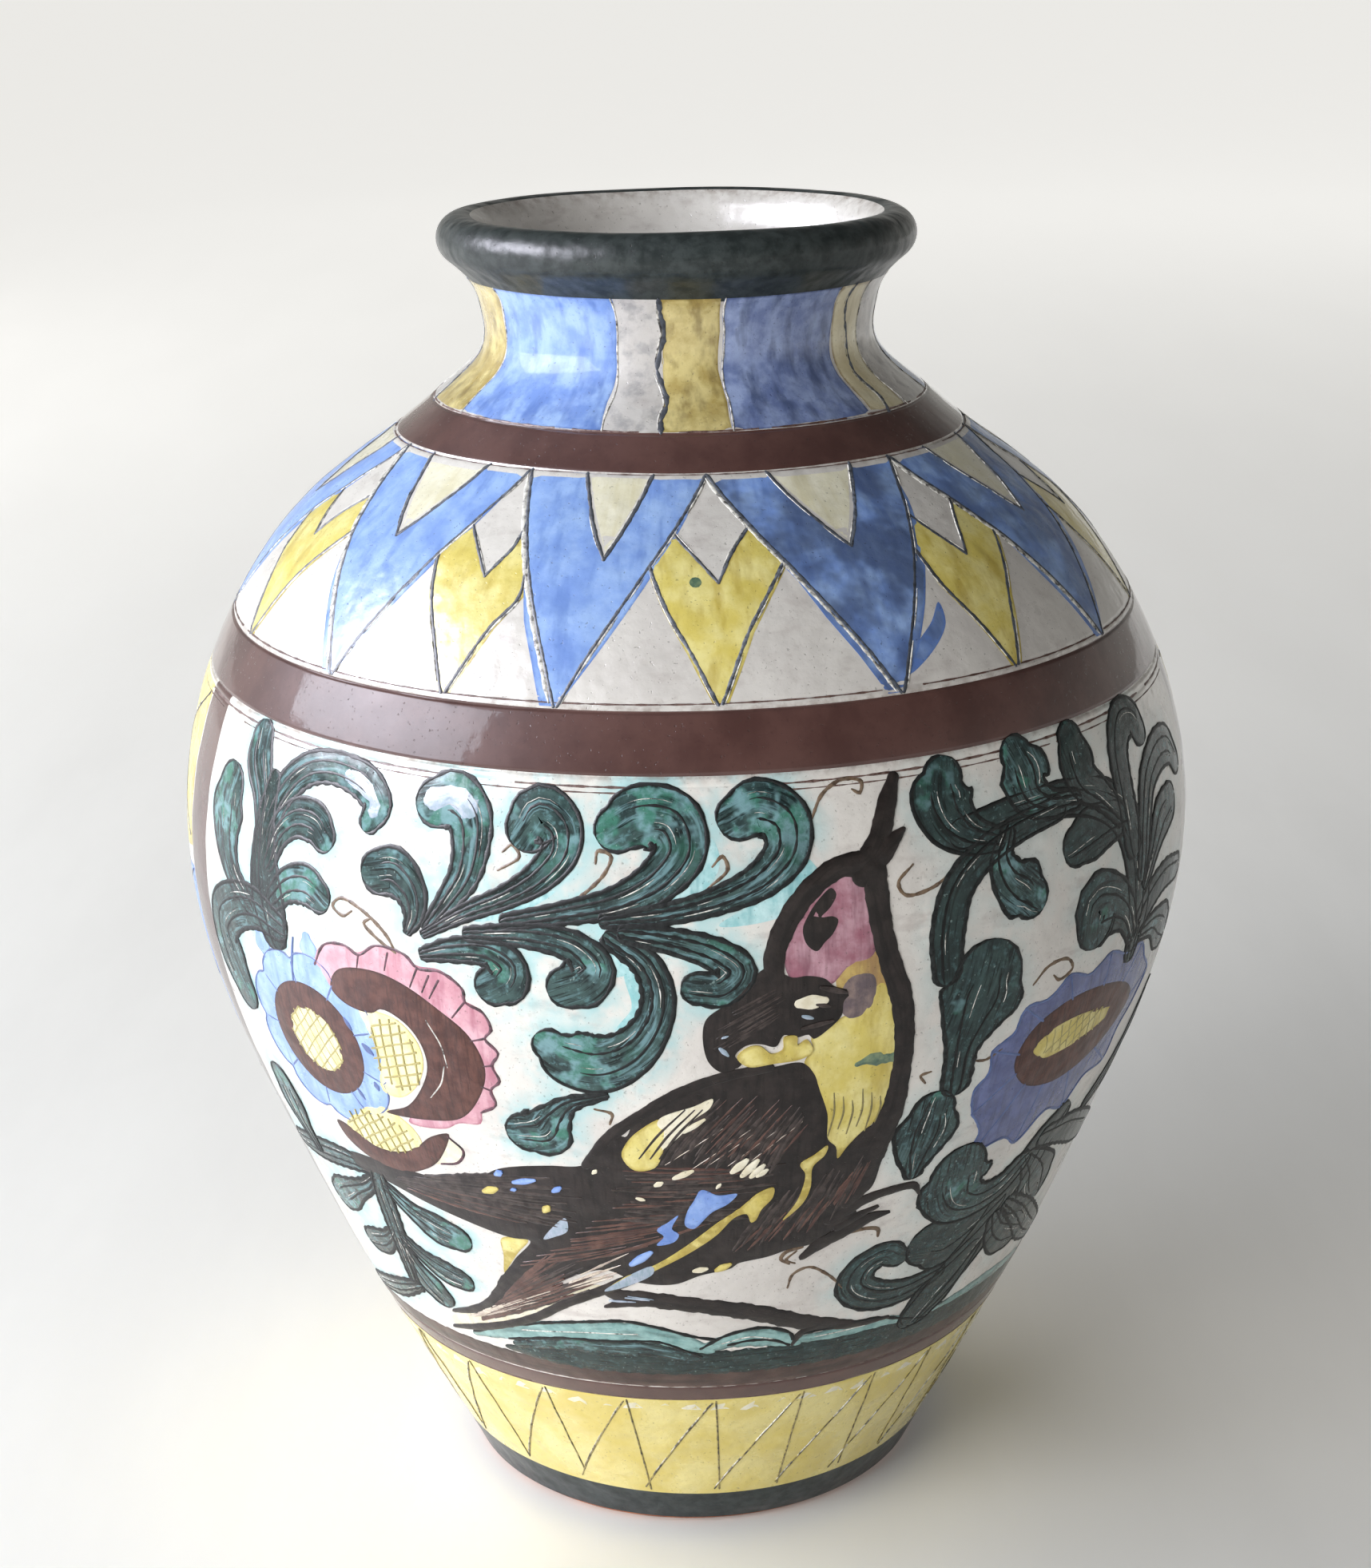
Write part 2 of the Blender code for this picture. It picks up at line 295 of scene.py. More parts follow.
class Paint:
    """The marks made in one colour, gathered into one mesh, and what their material asks at each point."""

    ASKED = ("edge", "along", "across", "tone")

    def __init__(self):
        self.points, self.faces, self.count = [], [], 0
        self.data = {key: [] for key in self.ASKED}

    def add(self, points, faces, **data):
        """One more closed mark, with a value of each kind for all its points or for each."""
        self.points.append(points)
        self.faces += [[i + self.count for i in face] for face in faces]
        self.count += len(points)
        for key in self.ASKED:
            self.data[key].append(np.broadcast_to(data[key], len(points)).astype(float))

    def ribbon(self, line, lift=0.10, rise=0.08, tone=0.5):
        """A closed, slightly domed strip of paint along a line of (angle, height, half width)."""
        rows = np.array(FULL if line[:, 2].max() > 0.9 else THIN)
        k, nx, ny = square_to(line)
        shares = np.concatenate([rows, [1.0, -1.0]])
        dome = lift + rise * (1 - rows**2)
        dome[[0, -1]] -= EDGE_DIP
        lifts = np.concatenate([dome, [UNDER, UNDER]])
        angle = line[:, :1] + nx[:, None] * shares * line[:, 2:3] / k[:, None]
        height = line[:, 1:2] + ny[:, None] * shares * line[:, 2:3]
        points = SKIN.at(angle, height, np.broadcast_to(lifts, angle.shape)).reshape(-1, 3)
        n, m = len(line), len(shares)
        faces = [
            [i * m + j, (i + 1) * m + j, (i + 1) * m + (j + 1) % m, i * m + (j + 1) % m]
            for i in range(n - 1) for j in range(m)
        ]
        faces += [list(range(m)), list(range((n - 1) * m, n * m))[::-1]]
        gap = np.hypot(np.diff(line[:, 0]) * k[1:], np.diff(line[:, 1]))
        run = np.concatenate([[0], np.cumsum(gap)])
        self.add(
            points, faces, tone=tone,
            edge=(line[:, 2:3] * (1 - abs(shares))).ravel(),
            along=np.repeat(run, m), across=(line[:, 2:3] * shares).ravel(),
        )

    def stroke(self, points, step=1.0, wobble=0.0, **looks):
        """A brush stroke through given (angle, height, half width); gives its centre line."""
        line = capped(smooth(points, step))
        self.ribbon(wobbly(line, wobble) if wobble else line, **looks)
        return line

    def fill(self, outline, lift=0.10, rise=0.06, tone=0.5, grid=2.2, soft=True, step=1.2):
        """A patch of paint inside an outline of (angle, height), soft or with straight sides."""
        if soft:
            edge = smooth(outline, step, closed=True)
        else:
            loop = np.array(list(outline) + [outline[0]], float)
            sides = []
            for a, b in zip(loop[:-1], loop[1:]):
                count = max(2, int(math.dist(a, b) / step))
                sides.append(a + (b - a) * np.linspace(0, 1, count, endpoint=False)[:, None])
            edge = np.concatenate(sides)
        k = float(degree_mm(edge[:, 1].mean()))
        flat = edge * [k, 1]
        a, b = flat, np.roll(flat, -1, axis=0)

        def distance(at):
            """How far each of some flat points lies from the outline."""
            squared = np.maximum(((b - a) ** 2).sum(1), 1e-9)
            t = np.clip(((at[:, None] - a) * (b - a)).sum(2) / squared, 0, 1)
            return np.linalg.norm(at[:, None] - a - t[..., None] * (b - a), axis=2).min(1)

        low, high = flat.min(0), flat.max(0)
        rows = np.arange(low[1] + grid / 2, high[1], grid * ROW_SHARE)
        mesh = np.array([
            (x, y) for i, y in enumerate(rows)
            for x in np.arange(low[0] + grid * (0.25 + 0.5 * (i % 2)), high[0], grid)
        ]).reshape(-1, 2)
        crossings = np.zeros(len(mesh), int)
        for (ax, ay), (bx, by) in zip(a, b):
            spans = (ay > mesh[:, 1]) != (by > mesh[:, 1])
            where = ax + (mesh[:, 1] - ay) * (bx - ax) / (by - ay if by != ay else 1)
            crossings += spans & (mesh[:, 0] < where)
        mesh = mesh[crossings % 2 == 1]
        mesh = mesh[distance(mesh) > 0.3 * grid] if len(mesh) else mesh
        every = [Vector(v) for v in np.concatenate([flat, mesh])]
        ring = list(range(len(flat)))
        spots, _, tris, *_ = delaunay_2d_cdt(every, [], [ring], 1, 1e-5)
        spots = np.array([tuple(v) for v in spots])
        inside = distance(spots)
        at = spots / [k, 1]
        domed = lift + rise * (1 - np.exp(-inside / 0.8)) - EDGE_DIP * (inside < 1e-3)
        top = SKIN.at(at[:, 0], at[:, 1], domed)
        bottom = SKIN.at(at[:, 0], at[:, 1], UNDER)
        n = len(spots)
        sides, seen = [], {}
        for tri in tris:
            for i, j in zip(tri, list(tri[1:]) + [tri[0]]):
                seen[i, j] = True
        for i, j in seen:
            if (j, i) not in seen:
                sides.append([j, i, i + n, j + n])
        faces = [list(t) for t in tris] + [[i + n for i in reversed(t)] for t in tris] + sides
        self.add(
            np.concatenate([top, bottom]), faces, tone=tone, edge=np.tile(inside, 2),
            along=np.tile(spots[:, 1], 2), across=np.tile(spots[:, 0], 2),
        )

    def piece(self, name, material, slot):
        """The gathered marks as one object on the vase."""
        data = {key: np.concatenate(values) for key, values in self.data.items()}
        place(name, mesh_of(name, np.concatenate(self.points), self.faces, **data), material, slot)


def place(name, mesh, material, slot, replaces=None):
    """A mesh as a piece of the vase, which may replace a CAD node."""
    mesh.validate()
    mesh.materials.append(material)
    mesh.shade_smooth()
    mesh.set_sharp_from_angle(angle=math.radians(40))
    item = bpy.data.objects.new(name, mesh)
    bpy.context.scene.collection.objects.link(item)
    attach(item, "root")
    if replaces:
        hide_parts(replaces)


# ---------------------------------------------------------------- materials
def colour(code):
    """A linear colour from its sRGB hex code."""
    parts = [int(code[i : i + 2], 16) / 255 for i in (0, 2, 4)]
    return (*[c / 12.92 if c < 0.04045 else ((c + 0.055) / 1.055) ** 2.4 for c in parts], 1.0)


UNEVEN = 0.12  # how far a glaze's roughness goes to either side of its middle


class Look:
    """A Principled material whose colour, roughness and relief are put together from procedural nodes."""

    def __init__(self, name, roughness=0.28, coat=0.6, coat_roughness=0.06):
        self.material = bpy.data.materials.new(name)
        self.material.use_nodes = True
        self.tree = self.material.node_tree
        self.shader = self.tree.nodes["Principled BSDF"]
        self.shader.inputs["Roughness"].default_value = roughness
        self.shader.inputs["Coat Weight"].default_value = coat
        self.shader.inputs["Coat Roughness"].default_value = coat_roughness
        self.place = self.node("TexCoord").outputs["Object"]

    def node(self, kind, settings=(), **sockets):
        """A new shader node with its settings and the values or links of its sockets."""
        made = self.tree.nodes.new("ShaderNode" + kind)
        for key, value in dict(settings).items():
            setattr(made, key, value)
        for key, value in sockets.items():
            self.put(made.inputs[key.replace("_", " ")], value)
        return made

    def put(self, socket, value):
        """Links a socket to another, or sets it to a number or to the colour of an sRGB hex code."""
        if isinstance(value, bpy.types.NodeSocket):
            self.tree.links.new(value, socket)
        else:
            socket.default_value = colour(value) if isinstance(value, str) else value

    def asked(self, name):
        """A value stored at each point of the mesh."""
        return self.node("Attribute", {"attribute_name": name}).outputs["Fac"]

    def noise(self, size, detail=3.0, along=(1, 1, 1)):
        """Noise with features about size mm across, stretched along an axis where its share is small."""
        at = self.node("Mapping", Vector=self.place, Scale=tuple(1000 / size * a for a in along)).outputs[0]
        return self.node("TexNoise", Vector=at, Scale=1.0, Detail=detail, Roughness=0.6).outputs["Fac"]

    def streaks(self, width, length):
        """Noise drawn out along each brush stroke."""
        along = self.times(self.asked("along"), 1 / length)
        across = self.times(self.asked("across"), 1 / width)
        tone = self.times(self.asked("tone"), 37.0)
        at = self.node("CombineXYZ", X=along, Y=across, Z=tone).outputs[0]
        return self.node("TexNoise", Vector=at, Scale=1.0, Detail=3.0, Roughness=0.55).outputs["Fac"]

    def maths(self, what, a, b=0.0):
        """The outcome of one sum on two values."""
        made = self.node("Math", {"operation": what})
        self.put(made.inputs[0], a)
        self.put(made.inputs[1], b)
        return made.outputs[0]

    def times(self, a, b):
        return self.maths("MULTIPLY", a, b)

    def level(self, value, low, high):
        """0 below low, 1 above high (or the other way round), smooth between."""
        made = self.node("MapRange", {"interpolation_type": "SMOOTHSTEP"}, Value=value)
        made.inputs["From Min"].default_value = low
        made.inputs["From Max"].default_value = high
        return made.outputs[0]

    def clouds(self, size, detail, low, high, along=(1, 1, 1)):
        """Soft patches of noise: 0 where it is under low, 1 where it is over high."""
        return self.level(self.noise(size, detail, along), low, high)

    def mix(self, share, a, b):
        """Colour a turned into colour b by a share."""
        made = self.node("Mix", {"data_type": "RGBA"})
        self.put(made.inputs["Factor"], share)
        self.put(made.inputs["A"], a)
        self.put(made.inputs["B"], b)
        return made.outputs["Result"]

    def done(self, base, bumps=(), roughness=None):
        """Links the colour and a chain of (height, distance in mm, strength) bumps."""
        self.put(self.shader.inputs["Base Color"], base)
        if roughness is not None:
            self.put(self.shader.inputs["Roughness"], roughness)
        normal = None
        for height, distance, strength in bumps:
            bump = self.node("Bump", Height=height, Distance=distance * MM, Strength=strength)
            if normal is not None:
                self.put(bump.inputs["Normal"], normal)
            normal = bump.outputs["Normal"]
        if normal is not None:
            self.put(self.shader.inputs["Normal"], normal)
            self.put(self.shader.inputs["Coat Normal"], normal)
        return self.material

    def glaze_skin(self, base, waves=0.5, pits=0.35, peel=0.5):
        """The finish every glaze shares: slow waves, orange peel, pinholes and patches of less gloss."""
        fine = self.noise(1.1, 4.0)
        slow = self.noise(9.0, 2.0)
        pinholes = self.clouds(0.7, 1.0, 0.30, 0.24)
        dulled = self.maths("MULTIPLY_ADD", self.noise(14.0, 4.0), UNEVEN * 2)
        self.put(dulled.node.inputs[2], self.shader.inputs["Roughness"].default_value - UNEVEN)
        base = self.mix(self.times(pinholes, pits), base, "2a221d")
        return self.done(base, ((slow, 1.2, waves), (fine, 0.10, peel), (pinholes, -0.15, 0.4)), dulled)


def white_ground(name, greyer=0.0, stained=True, coat=0.55):
    """Tin-white slip under glaze: cool and warm clouds, brush marks, stains and pale green haloes."""
    look = Look(name, 0.30, coat)
    base = look.mix(look.clouds(26.0, 4.0, 0.35, 0.7), "e2ded8", "d2cdc8")
    base = look.mix(look.clouds(8.0, 5.0, 0.52, 0.75, (1, 1, 2.5)), base, "c6bfba")
    base = look.mix(look.clouds(3.0, 4.0, 0.60, 0.85), base, "b3aaa4")
    base = look.mix(look.times(look.clouds(0.6, 2.0, 0.66, 0.74), 0.5), base, "8d857e")
    if greyer:
        base = look.mix(greyer, base, "a9a6a6")
    if not stained:
        base = look.mix(look.times(look.clouds(3.4, 6.0, 0.46, 0.70), 0.7), base, "8f8d90")
        return look.glaze_skin(base)
    halo = look.times(look.asked("halo"), look.clouds(7.0, 3.0, 0.30, 0.62))
    base = look.mix(look.times(halo, 0.80), base, "9accd0")
    stain = look.times(look.asked("stain"), look.clouds(2.5, 4.0, 0.35, 0.75))
    base = look.mix(look.times(stain, 0.75), base, "7d6a60")
    return look.glaze_skin(base)


def painted(name, codes, size=6.0, streak=(2.2, 14.0), edge=(0.5, None), roughness=0.28, coat=0.6,
        crisp=0.06, under=0.5, dark=None, **skin):
    """A brushed colour: codes are its thin, middle and thick shades.

    edge is the width in mm and the shade of its darker border, under how much the paint reflects
    under its coat, crisp how rough that coat is, and dark its shade where the tone is low.
    """
    look = Look(name, roughness, coat, crisp)
    look.shader.inputs["Specular IOR Level"].default_value = under
    thin, middle, thick = codes
    base = look.mix(look.level(look.noise(size, 4.0), 0.34, 0.66), thin, middle)
    brushed = look.times(look.level(look.streaks(*streak), 0.45, 0.72), 0.65)
    base = look.mix(brushed, base, thick)
    base = look.mix(look.times(look.clouds(0.8, 2.0, 0.60, 0.75), 0.30), base, thick)
    if dark:
        shade = look.times(look.level(look.asked("tone"), 0.30, 0.0), look.clouds(11.0, 3.0, 0.30, 0.60))
        base = look.mix(look.times(shade, 0.85), base, dark)
    if edge[1]:
        rim = look.times(look.level(look.asked("edge"), edge[0], 0.0), 0.8)
        rim = look.times(rim, look.clouds(2.0, 3.0, 0.2, 0.6))
        base = look.mix(rim, base, edge[1])
    return look.glaze_skin(base, **skin)


def leaf_green(name):
    """The leaves' wash: mottled, nearly black teal, and turquoise where the tone is high."""
    look = Look(name, 0.26, 0.4)
    look.shader.inputs["Specular IOR Level"].default_value = 0.12
    deep = look.mix(look.clouds(4.5, 5.0, 0.36, 0.64), "2a3a3b", "405755")
    deep = look.mix(look.clouds(1.5, 4.0, 0.52, 0.72), deep, "5a7d80")
    pooled = look.times(look.level(look.streaks(1.3, 11.0), 0.52, 0.64),
        look.level(look.asked("tone"), 0.0, 0.8))
    deep = look.mix(pooled, deep, "698a90")
    deep = look.mix(look.level(look.streaks(0.6, 7.0), 0.48, 0.66), deep, "161f1f")
    bright = look.mix(look.clouds(3.5, 5.0, 0.38, 0.62), "7ba2a8", "417a69")
    patch = look.maths("ADD", look.times(look.asked("tone"), 0.22), look.noise(8.0, 3.0))
    patch = look.times(look.level(patch, 0.64, 0.74), 0.85)
    patch = look.times(patch, look.level(look.asked("along"), 26.0, 12.0))
    base = look.mix(patch, deep, bright)
    rim = look.times(look.level(look.asked("edge"), 1.1, 0.3), look.clouds(1.2, 3.0, 0.3, 0.6))
    base = look.mix(rim, base, "161c1c")
    shade = look.times(look.level(look.asked("tone"), 0.34, 0.05), 0.62)
    base = look.mix(shade, base, "1c2726")
    fleck = look.times(look.clouds(0.9, 2.0, 0.66, 0.74), 0.4)
    base = look.mix(fleck, base, "9fb9b6")
    return look.glaze_skin(base, pits=0.2)


def scratched(name, dark, pale, deepest="2b2726"):
    """A line cut through the glaze: dark in its groove, pale on the burrs that broke off beside it; those
    pale burr lines are partly a painted highlight along the cut.
    """
    look = Look(name, 0.5, 0.08)
    look.shader.inputs["Specular IOR Level"].default_value = 0.25
    groove = look.mix(look.clouds(1.5, 3.0, 0.35, 0.65), dark, deepest)
    broken = look.times(look.asked("tone"), look.clouds(1.1, 3.0, 0.38, 0.60))
    base = look.mix(broken, groove, pale)
    return look.done(base, ((look.noise(0.5, 3.0), 0.12, 0.7),))


def bare_clay(name):
    """Unglazed fired earthenware, with the fine rings and grit that turning leaves."""
    look = Look(name, 0.85, 0.0)
    base = look.mix(look.clouds(12.0, 5.0, 0.35, 0.65), "b5714b", "96583a")
    base = look.mix(look.clouds(0.9, 3.0, 0.58, 0.72), base, "6f4632")
    base = look.mix(look.clouds(1.6, 2.0, 0.60, 0.75, (1, 1, 6)), base, "d0966f")
    rings = look.noise(0.8, 2.0, (0.15, 0.15, 4))
    return look.done(base, ((rings, 0.25, 0.5), (look.noise(0.45, 3.0), 0.15, 0.6)))


# ---------------------------------------------------------------- the pot: clay and the coats over it
def grid_faces(rows, columns, closed):
    """The quads of a grid of rows by columns, joined round when closed."""
    last = columns if closed else columns - 1
    faces = []
    for i in range(rows - 1):
        for j in range(last):
            below, after = i * columns, (j + 1) % columns
            faces.append([below + j, below + after, below + columns + after, below + columns + j])
    return faces


def row_heights(low, high, step):
    """Heights from low to high every step mm, and closer where a ring is cut."""
    rows = set(np.linspace(low, high, max(2, round((high - low) / step) + 1)))
    rows |= {r + d for r in RINGS for d in (-0.75, -0.45, -0.2, 0.0, 0.2, 0.45, 0.75) if low < r + d < high}
    return np.array(sorted(rows))


def shell(name, low, high, material, slot, replaces, span=None, face=0.0, back=-0.6, step=1.6, columns=288,
        **data):
    """A closed coat or wall between two heights along the skin, all round or across a span of angles."""
    heights = row_heights(low, high, step)
    if span:
        columns = max(6, round((span[1] - span[0]) * degree_mm((low + high) / 2) / step)) + 1
        angles = np.linspace(*span, columns)
    else:
        angles = np.linspace(-180, 180, columns, endpoint=False)
    a, s = np.meshgrid(angles, heights)
    n, m = a.shape
    points = np.concatenate([SKIN.at(a, s, face).reshape(-1, 3), SKIN.at(a, s, back).reshape(-1, 3)])
    faces = grid_faces(n, m, not span)
    faces += [[i + n * m for i in reversed(quad)] for quad in faces]
    for j in range(m if not span else m - 1):
        k, top = (j + 1) % m, (n - 1) * m
        faces.append([k, j, j + n * m, k + n * m])
        faces.append([top + j, top + k, top + k + n * m, top + j + n * m])
    if span:
        for i in range(n - 1):
            here, above = i * m, (i + 1) * m
            faces.append([here, above, above + n * m, here + n * m])
            here, above = here + m - 1, above + m - 1
            faces.append([above, here, here + n * m, above + n * m])
    values = {key: np.tile(np.asarray(value(a, s), float).ravel(), 2) for key, value in data.items()}
    place(name, mesh_of(name, points, faces, **values), material, slot, replaces)


def turned(name, outline, material, slot, replaces, columns=192):
    """A closed solid of revolution from an outline of (radius, z) in mm, clockwise as seen from -Y."""
    line = np.array(outline, float) * MM
    a = np.linspace(0, 2 * math.pi, columns, endpoint=False)
    r, z = line[:, :1], line[:, 1:]
    points = np.stack([r * np.sin(a), -r * np.cos(a), z + 0 * a], -1).reshape(-1, 3)
    faces = grid_faces(len(line), columns, True)
    last = (len(line) - 1) * columns
    faces += [[last + j, last + (j + 1) % columns, (j + 1) % columns, j] for j in range(columns)]
    mesh = mesh_of(name, points, faces)
    work = bmesh.new()
    work.from_mesh(mesh)
    bmesh.ops.remove_doubles(work, verts=work.verts, dist=0.00001)
    bmesh.ops.dissolve_degenerate(work, edges=work.edges, dist=0.00001)
    bmesh.ops.recalc_face_normals(work, faces=work.faces)
    work.to_mesh(mesh)
    work.free()
    place(name, mesh, material, slot, replaces)


def skin_span(node, deepest):
    """The lowest and highest place along the outer skin, in mm, of a node's corners that lie near it."""
    outside = SKIN.s < SKIN.height(LIP_START[0]) * MM
    line = np.stack([SKIN.r[outside], SKIN.z[outside]], 1)
    corners = np.array([(math.hypot(v.co.x, v.co.y), v.co.z) for v in NODES[node].data.vertices])
    corners = np.unique(corners.round(5), axis=0)
    away = np.linalg.norm(corners[:, None] - line, axis=2)
    near = SKIN.s[outside][away.argmin(1)][away.min(1) < deepest * MM]
    return near.min() / MM, near.max() / MM


def angle_span(node):
    """The first and last angle of a node that covers a sector of the vase."""
    angles = np.array([math.degrees(math.atan2(v.co.x, -v.co.y)) for v in NODES[node].data.vertices])
    if np.ptp(angles) > 180:
        angles = np.where(angles < 0, angles + 360, angles)
    return float(angles.min()), float(angles.max())


# ---------------------------------------------------------------- the painting
PAINTS = (  # a colour on the easel, its material and its slot
    ("leaf", "leaf", "green_glaze"), ("leaf_line", "leaf_line", "brown_slip"),
    ("burr", "burr", "white_glaze"), ("tendril", "tendril", "brown_slip"),
    ("blue", "petal_blue", "white_glaze"), ("dusk", "petal_dusk", "white_glaze"),
    ("pink", "pink", "white_glaze"), ("ring", "ring", "brown_slip"), ("yellow", "yellow", "yellow_glaze"),
    ("pale_yellow", "pale_yellow", "yellow_glaze"), ("line", "petal_line", "brown_slip"),
    ("black", "black", "brown_slip"), ("plum", "plum", "white_glaze"), ("cream", "cream", "white_glaze"),
    ("rust", "rust", "brown_slip"), ("ground", "ground", "green_glaze"), ("wash", "wash", "white_glaze"),
    ("blue_line", "blue_line", "white_glaze"), ("hatch", "hatch", "yellow_glaze"),
    ("soot", "soot", "brown_slip"), ("smear", "smear", "green_glaze"), ("fleck", "fleck", "green_glaze"),
    ("olive", "olive", "yellow_glaze"), ("tail_pale", "tail_pale", "white_glaze"),
    ("rust_yellow", "rust_yellow", "yellow_glaze"), ("bloom", "bloom", "white_glaze"),
    ("mud", "mud", "brown_slip"),
)
RIBS = (-0.36, 0.34)  # where the lines inside a leaf run, as shares of its half width
HATCH_GAP = 2.3


class Easel:
    """Where one side's painting goes: its colours, and how its marks are turned round the vase."""

    def __init__(self, turn=0.0, mirror=False):
        self.turn, self.mirror = turn, mirror
        self.paint = {name: Paint() for name, *_ in PAINTS}
        self.leaf_edges = []
        self.leaves = 0

    def at(self, points):
        """Points of the front's painting moved to this side, and shifted a little if it is mirrored."""
        p = np.array(points, float)
        if self.mirror:
            a, s = p[:, 0].copy(), p[:, 1].copy()
            p[:, 0] = -a + 1.3 * np.sin(s / 19)
            p[:, 1] = s + 1.2 * np.sin(a / 14) * np.clip(np.minimum(s - 56, 200 - s) / 20, 0, 1)
        p[:, 0] += self.turn
        return p

    def stroke(self, colour, points, **looks):
        """A brush stroke on this side in one of its colours; gives its centre line."""
        return self.paint[colour].stroke(self.at(points), **looks)

    def fill(self, colour, outline, **looks):
        """A patch on this side in one of its colours."""
        self.paint[colour].fill(self.at(outline), **looks)

    def dabs(self, colour, *marks, **looks):
        """Short strokes, each from one point to another with a half width at its middle."""
        for a, s, b, t, w in marks:
            self.stroke(colour, [(a, s, w * 0.6), ((a + b) / 2, (s + t) / 2, w), (b, t, w * 0.5)], **looks)

    def trace(self, colour, body, across, half, start=0.0, end=1.0, dashed=0.0, rough=0.28, **looks):
        """A thin line along a stroke, at a share of its width, whole or broken into dashes."""
        line = beside(body, across)
        n = len(line)
        line[:, 2] = np.minimum(half, 0.30 * body[:, 2] + 0.05) * np.linspace(0.7, 1.15, n)
        i, stop = int(start * n), int(end * n)
        while i < stop - 3:
            run = rng.randint(4, 11) if dashed else n
            part = line[i : min(i + run, stop)]
            if len(part) > 3:
                part = wobbly(tapered(part, 0.3, 3), rough, 1.9)
                self.paint[colour].ribbon(part, tone=rng.random(), **looks)
            i += run + (rng.randint(3, 4 + int(14 * dashed)) if dashed else 0)

    def leaf(self, points, tone):
        """A comma-shaped leaf, head first: a wash of green, lines cut along it, their pale burrs (partly a
        painted highlight), and on the brightest ones a painted glint.
        """
        lift = 0.09 + 0.014 * (self.leaves % 8)
        self.leaves += 1
        body = self.stroke("leaf", points, tone=tone, lift=lift, rise=0.07, wobble=0.05)
        top = lift + 0.055
        for side in (-0.97, 0.97):
            self.leaf_edges.append(beside(body, side * 1.1))
            self.trace("leaf_line", body, side, 0.50, lift=top - 0.03, rise=0.09, rough=0.4)
        for rib in RIBS if tone > 0.12 else RIBS[:1]:
            start = rng.uniform(0.08, 0.26)
            self.trace("leaf_line", body, rib, 0.34, start, 0.98, lift=top + 0.015, rise=0.06, rough=0.4)
            # the pale burr beside each rib: broken glaze, and partly a painted highlight along the cut
            self.trace("burr", body, rib + 0.20, 0.11, start, 0.85, 1.0, lift=top + 0.04, rise=0.04)
        # on the brightest leaves, a pale lilac patch near the head: a painted glint of the window's
        # reflection
        if tone > 0.99:
            patch = beside(body, 0.15)[int(0.10 * len(body)) : int(0.30 * len(body)) : 2].copy()
            patch[:, 2] *= 0.42
            self.paint["bloom"].ribbon(wobbly(capped(patch), 0.3), lift=top + 0.01, rise=0.05)


def spot(centre, radius, turn):
    """The (angle, height) at a distance in mm and a direction in degrees from a centre."""
    t = math.radians(turn)
    k = float(degree_mm(centre[1]))
    return centre[0] + radius * math.cos(t) / k, centre[1] + radius * math.sin(t)


def hatch(easel, centre, wide, high, tilt):
    """Cross-hatching inside an ellipse of half sizes wide and high in mm."""
    for way in (tilt, tilt + 68):
        c, s = math.cos(math.radians(way)), math.sin(math.radians(way))
        reach = 1 / math.hypot(s / wide, c / high)
        count = int(reach / HATCH_GAP)
        for i in range(-count, count + 1):
            x, y = -s * i * HATCH_GAP, c * i * HATCH_GAP
            a = (c / wide) ** 2 + (s / high) ** 2
            b = x * c / wide**2 + y * s / high**2
            rest = b * b - a * ((x / wide) ** 2 + (y / high) ** 2 - 0.93)
            if rest > 0:
                ends = [(-b + sign * math.sqrt(rest)) / a for sign in (-1, 1)]
                k = float(degree_mm(centre[1]))
                line = [
                    (centre[0] + (x + c * t + rng.uniform(-0.25, 0.25)) / k, centre[1] + y + s * t, 0.20)
                    for t in np.linspace(*ends, 5)
                ]
                easel.stroke("hatch", line, lift=0.30, rise=0.02, tone=0.6, wobble=0.3)


def rosette(easel, centre, outer, inner, core, lobes, squash, tilt):
    """A round flower with scratched lines: lobed petals, a dark ring and a yellow hatched centre."""

    def curve(radius, bumps=0.0, count=72):
        """An oval about the centre, its outline raised into lobes."""
        points = []
        for t in np.linspace(0, 360, count, endpoint=False):
            r = radius * (1 + bumps * (abs(math.sin(math.radians(lobes * t / 2))) ** 0.7 - 0.5))
            x, y = r * math.cos(math.radians(t)), squash * r * math.sin(math.radians(t))
            points.append(spot(centre, math.hypot(x, y), math.degrees(math.atan2(y, x)) + tilt))
        return points

    edge = curve(outer, 0.11)
    easel.fill("blue", edge, lift=0.07, rise=0.05, tone=0.5)
    easel.fill("ring", curve(inner, count=28), lift=0.15, rise=0.08, tone=0.5)
    easel.fill("pale_yellow", curve(core, count=24), lift=0.24, rise=0.05, tone=0.5)
    hatch(easel, centre, core, core * squash, 25 + tilt)
    rim = [(*p, 0.18) for p in edge + edge[:1]]
    easel.stroke("blue_line", rim, lift=0.12, rise=0.03, tone=0.3, wobble=0.5)
    for i in range(lobes):
        t = math.radians(360 * i / lobes)
        x, y = math.cos(t), squash * math.sin(t)
        ray = [
            spot(centre, r * math.hypot(x, y), math.degrees(math.atan2(y, x)) + tilt)
            for r in (inner * 0.98, (inner + outer) / 2, outer * 0.90)
        ]
        ray = [(*p, w) for p, w in zip(ray, (0.22, 0.28, 0.12))]
        easel.stroke("blue_line", ray, lift=0.12, rise=0.03, tone=0.2)


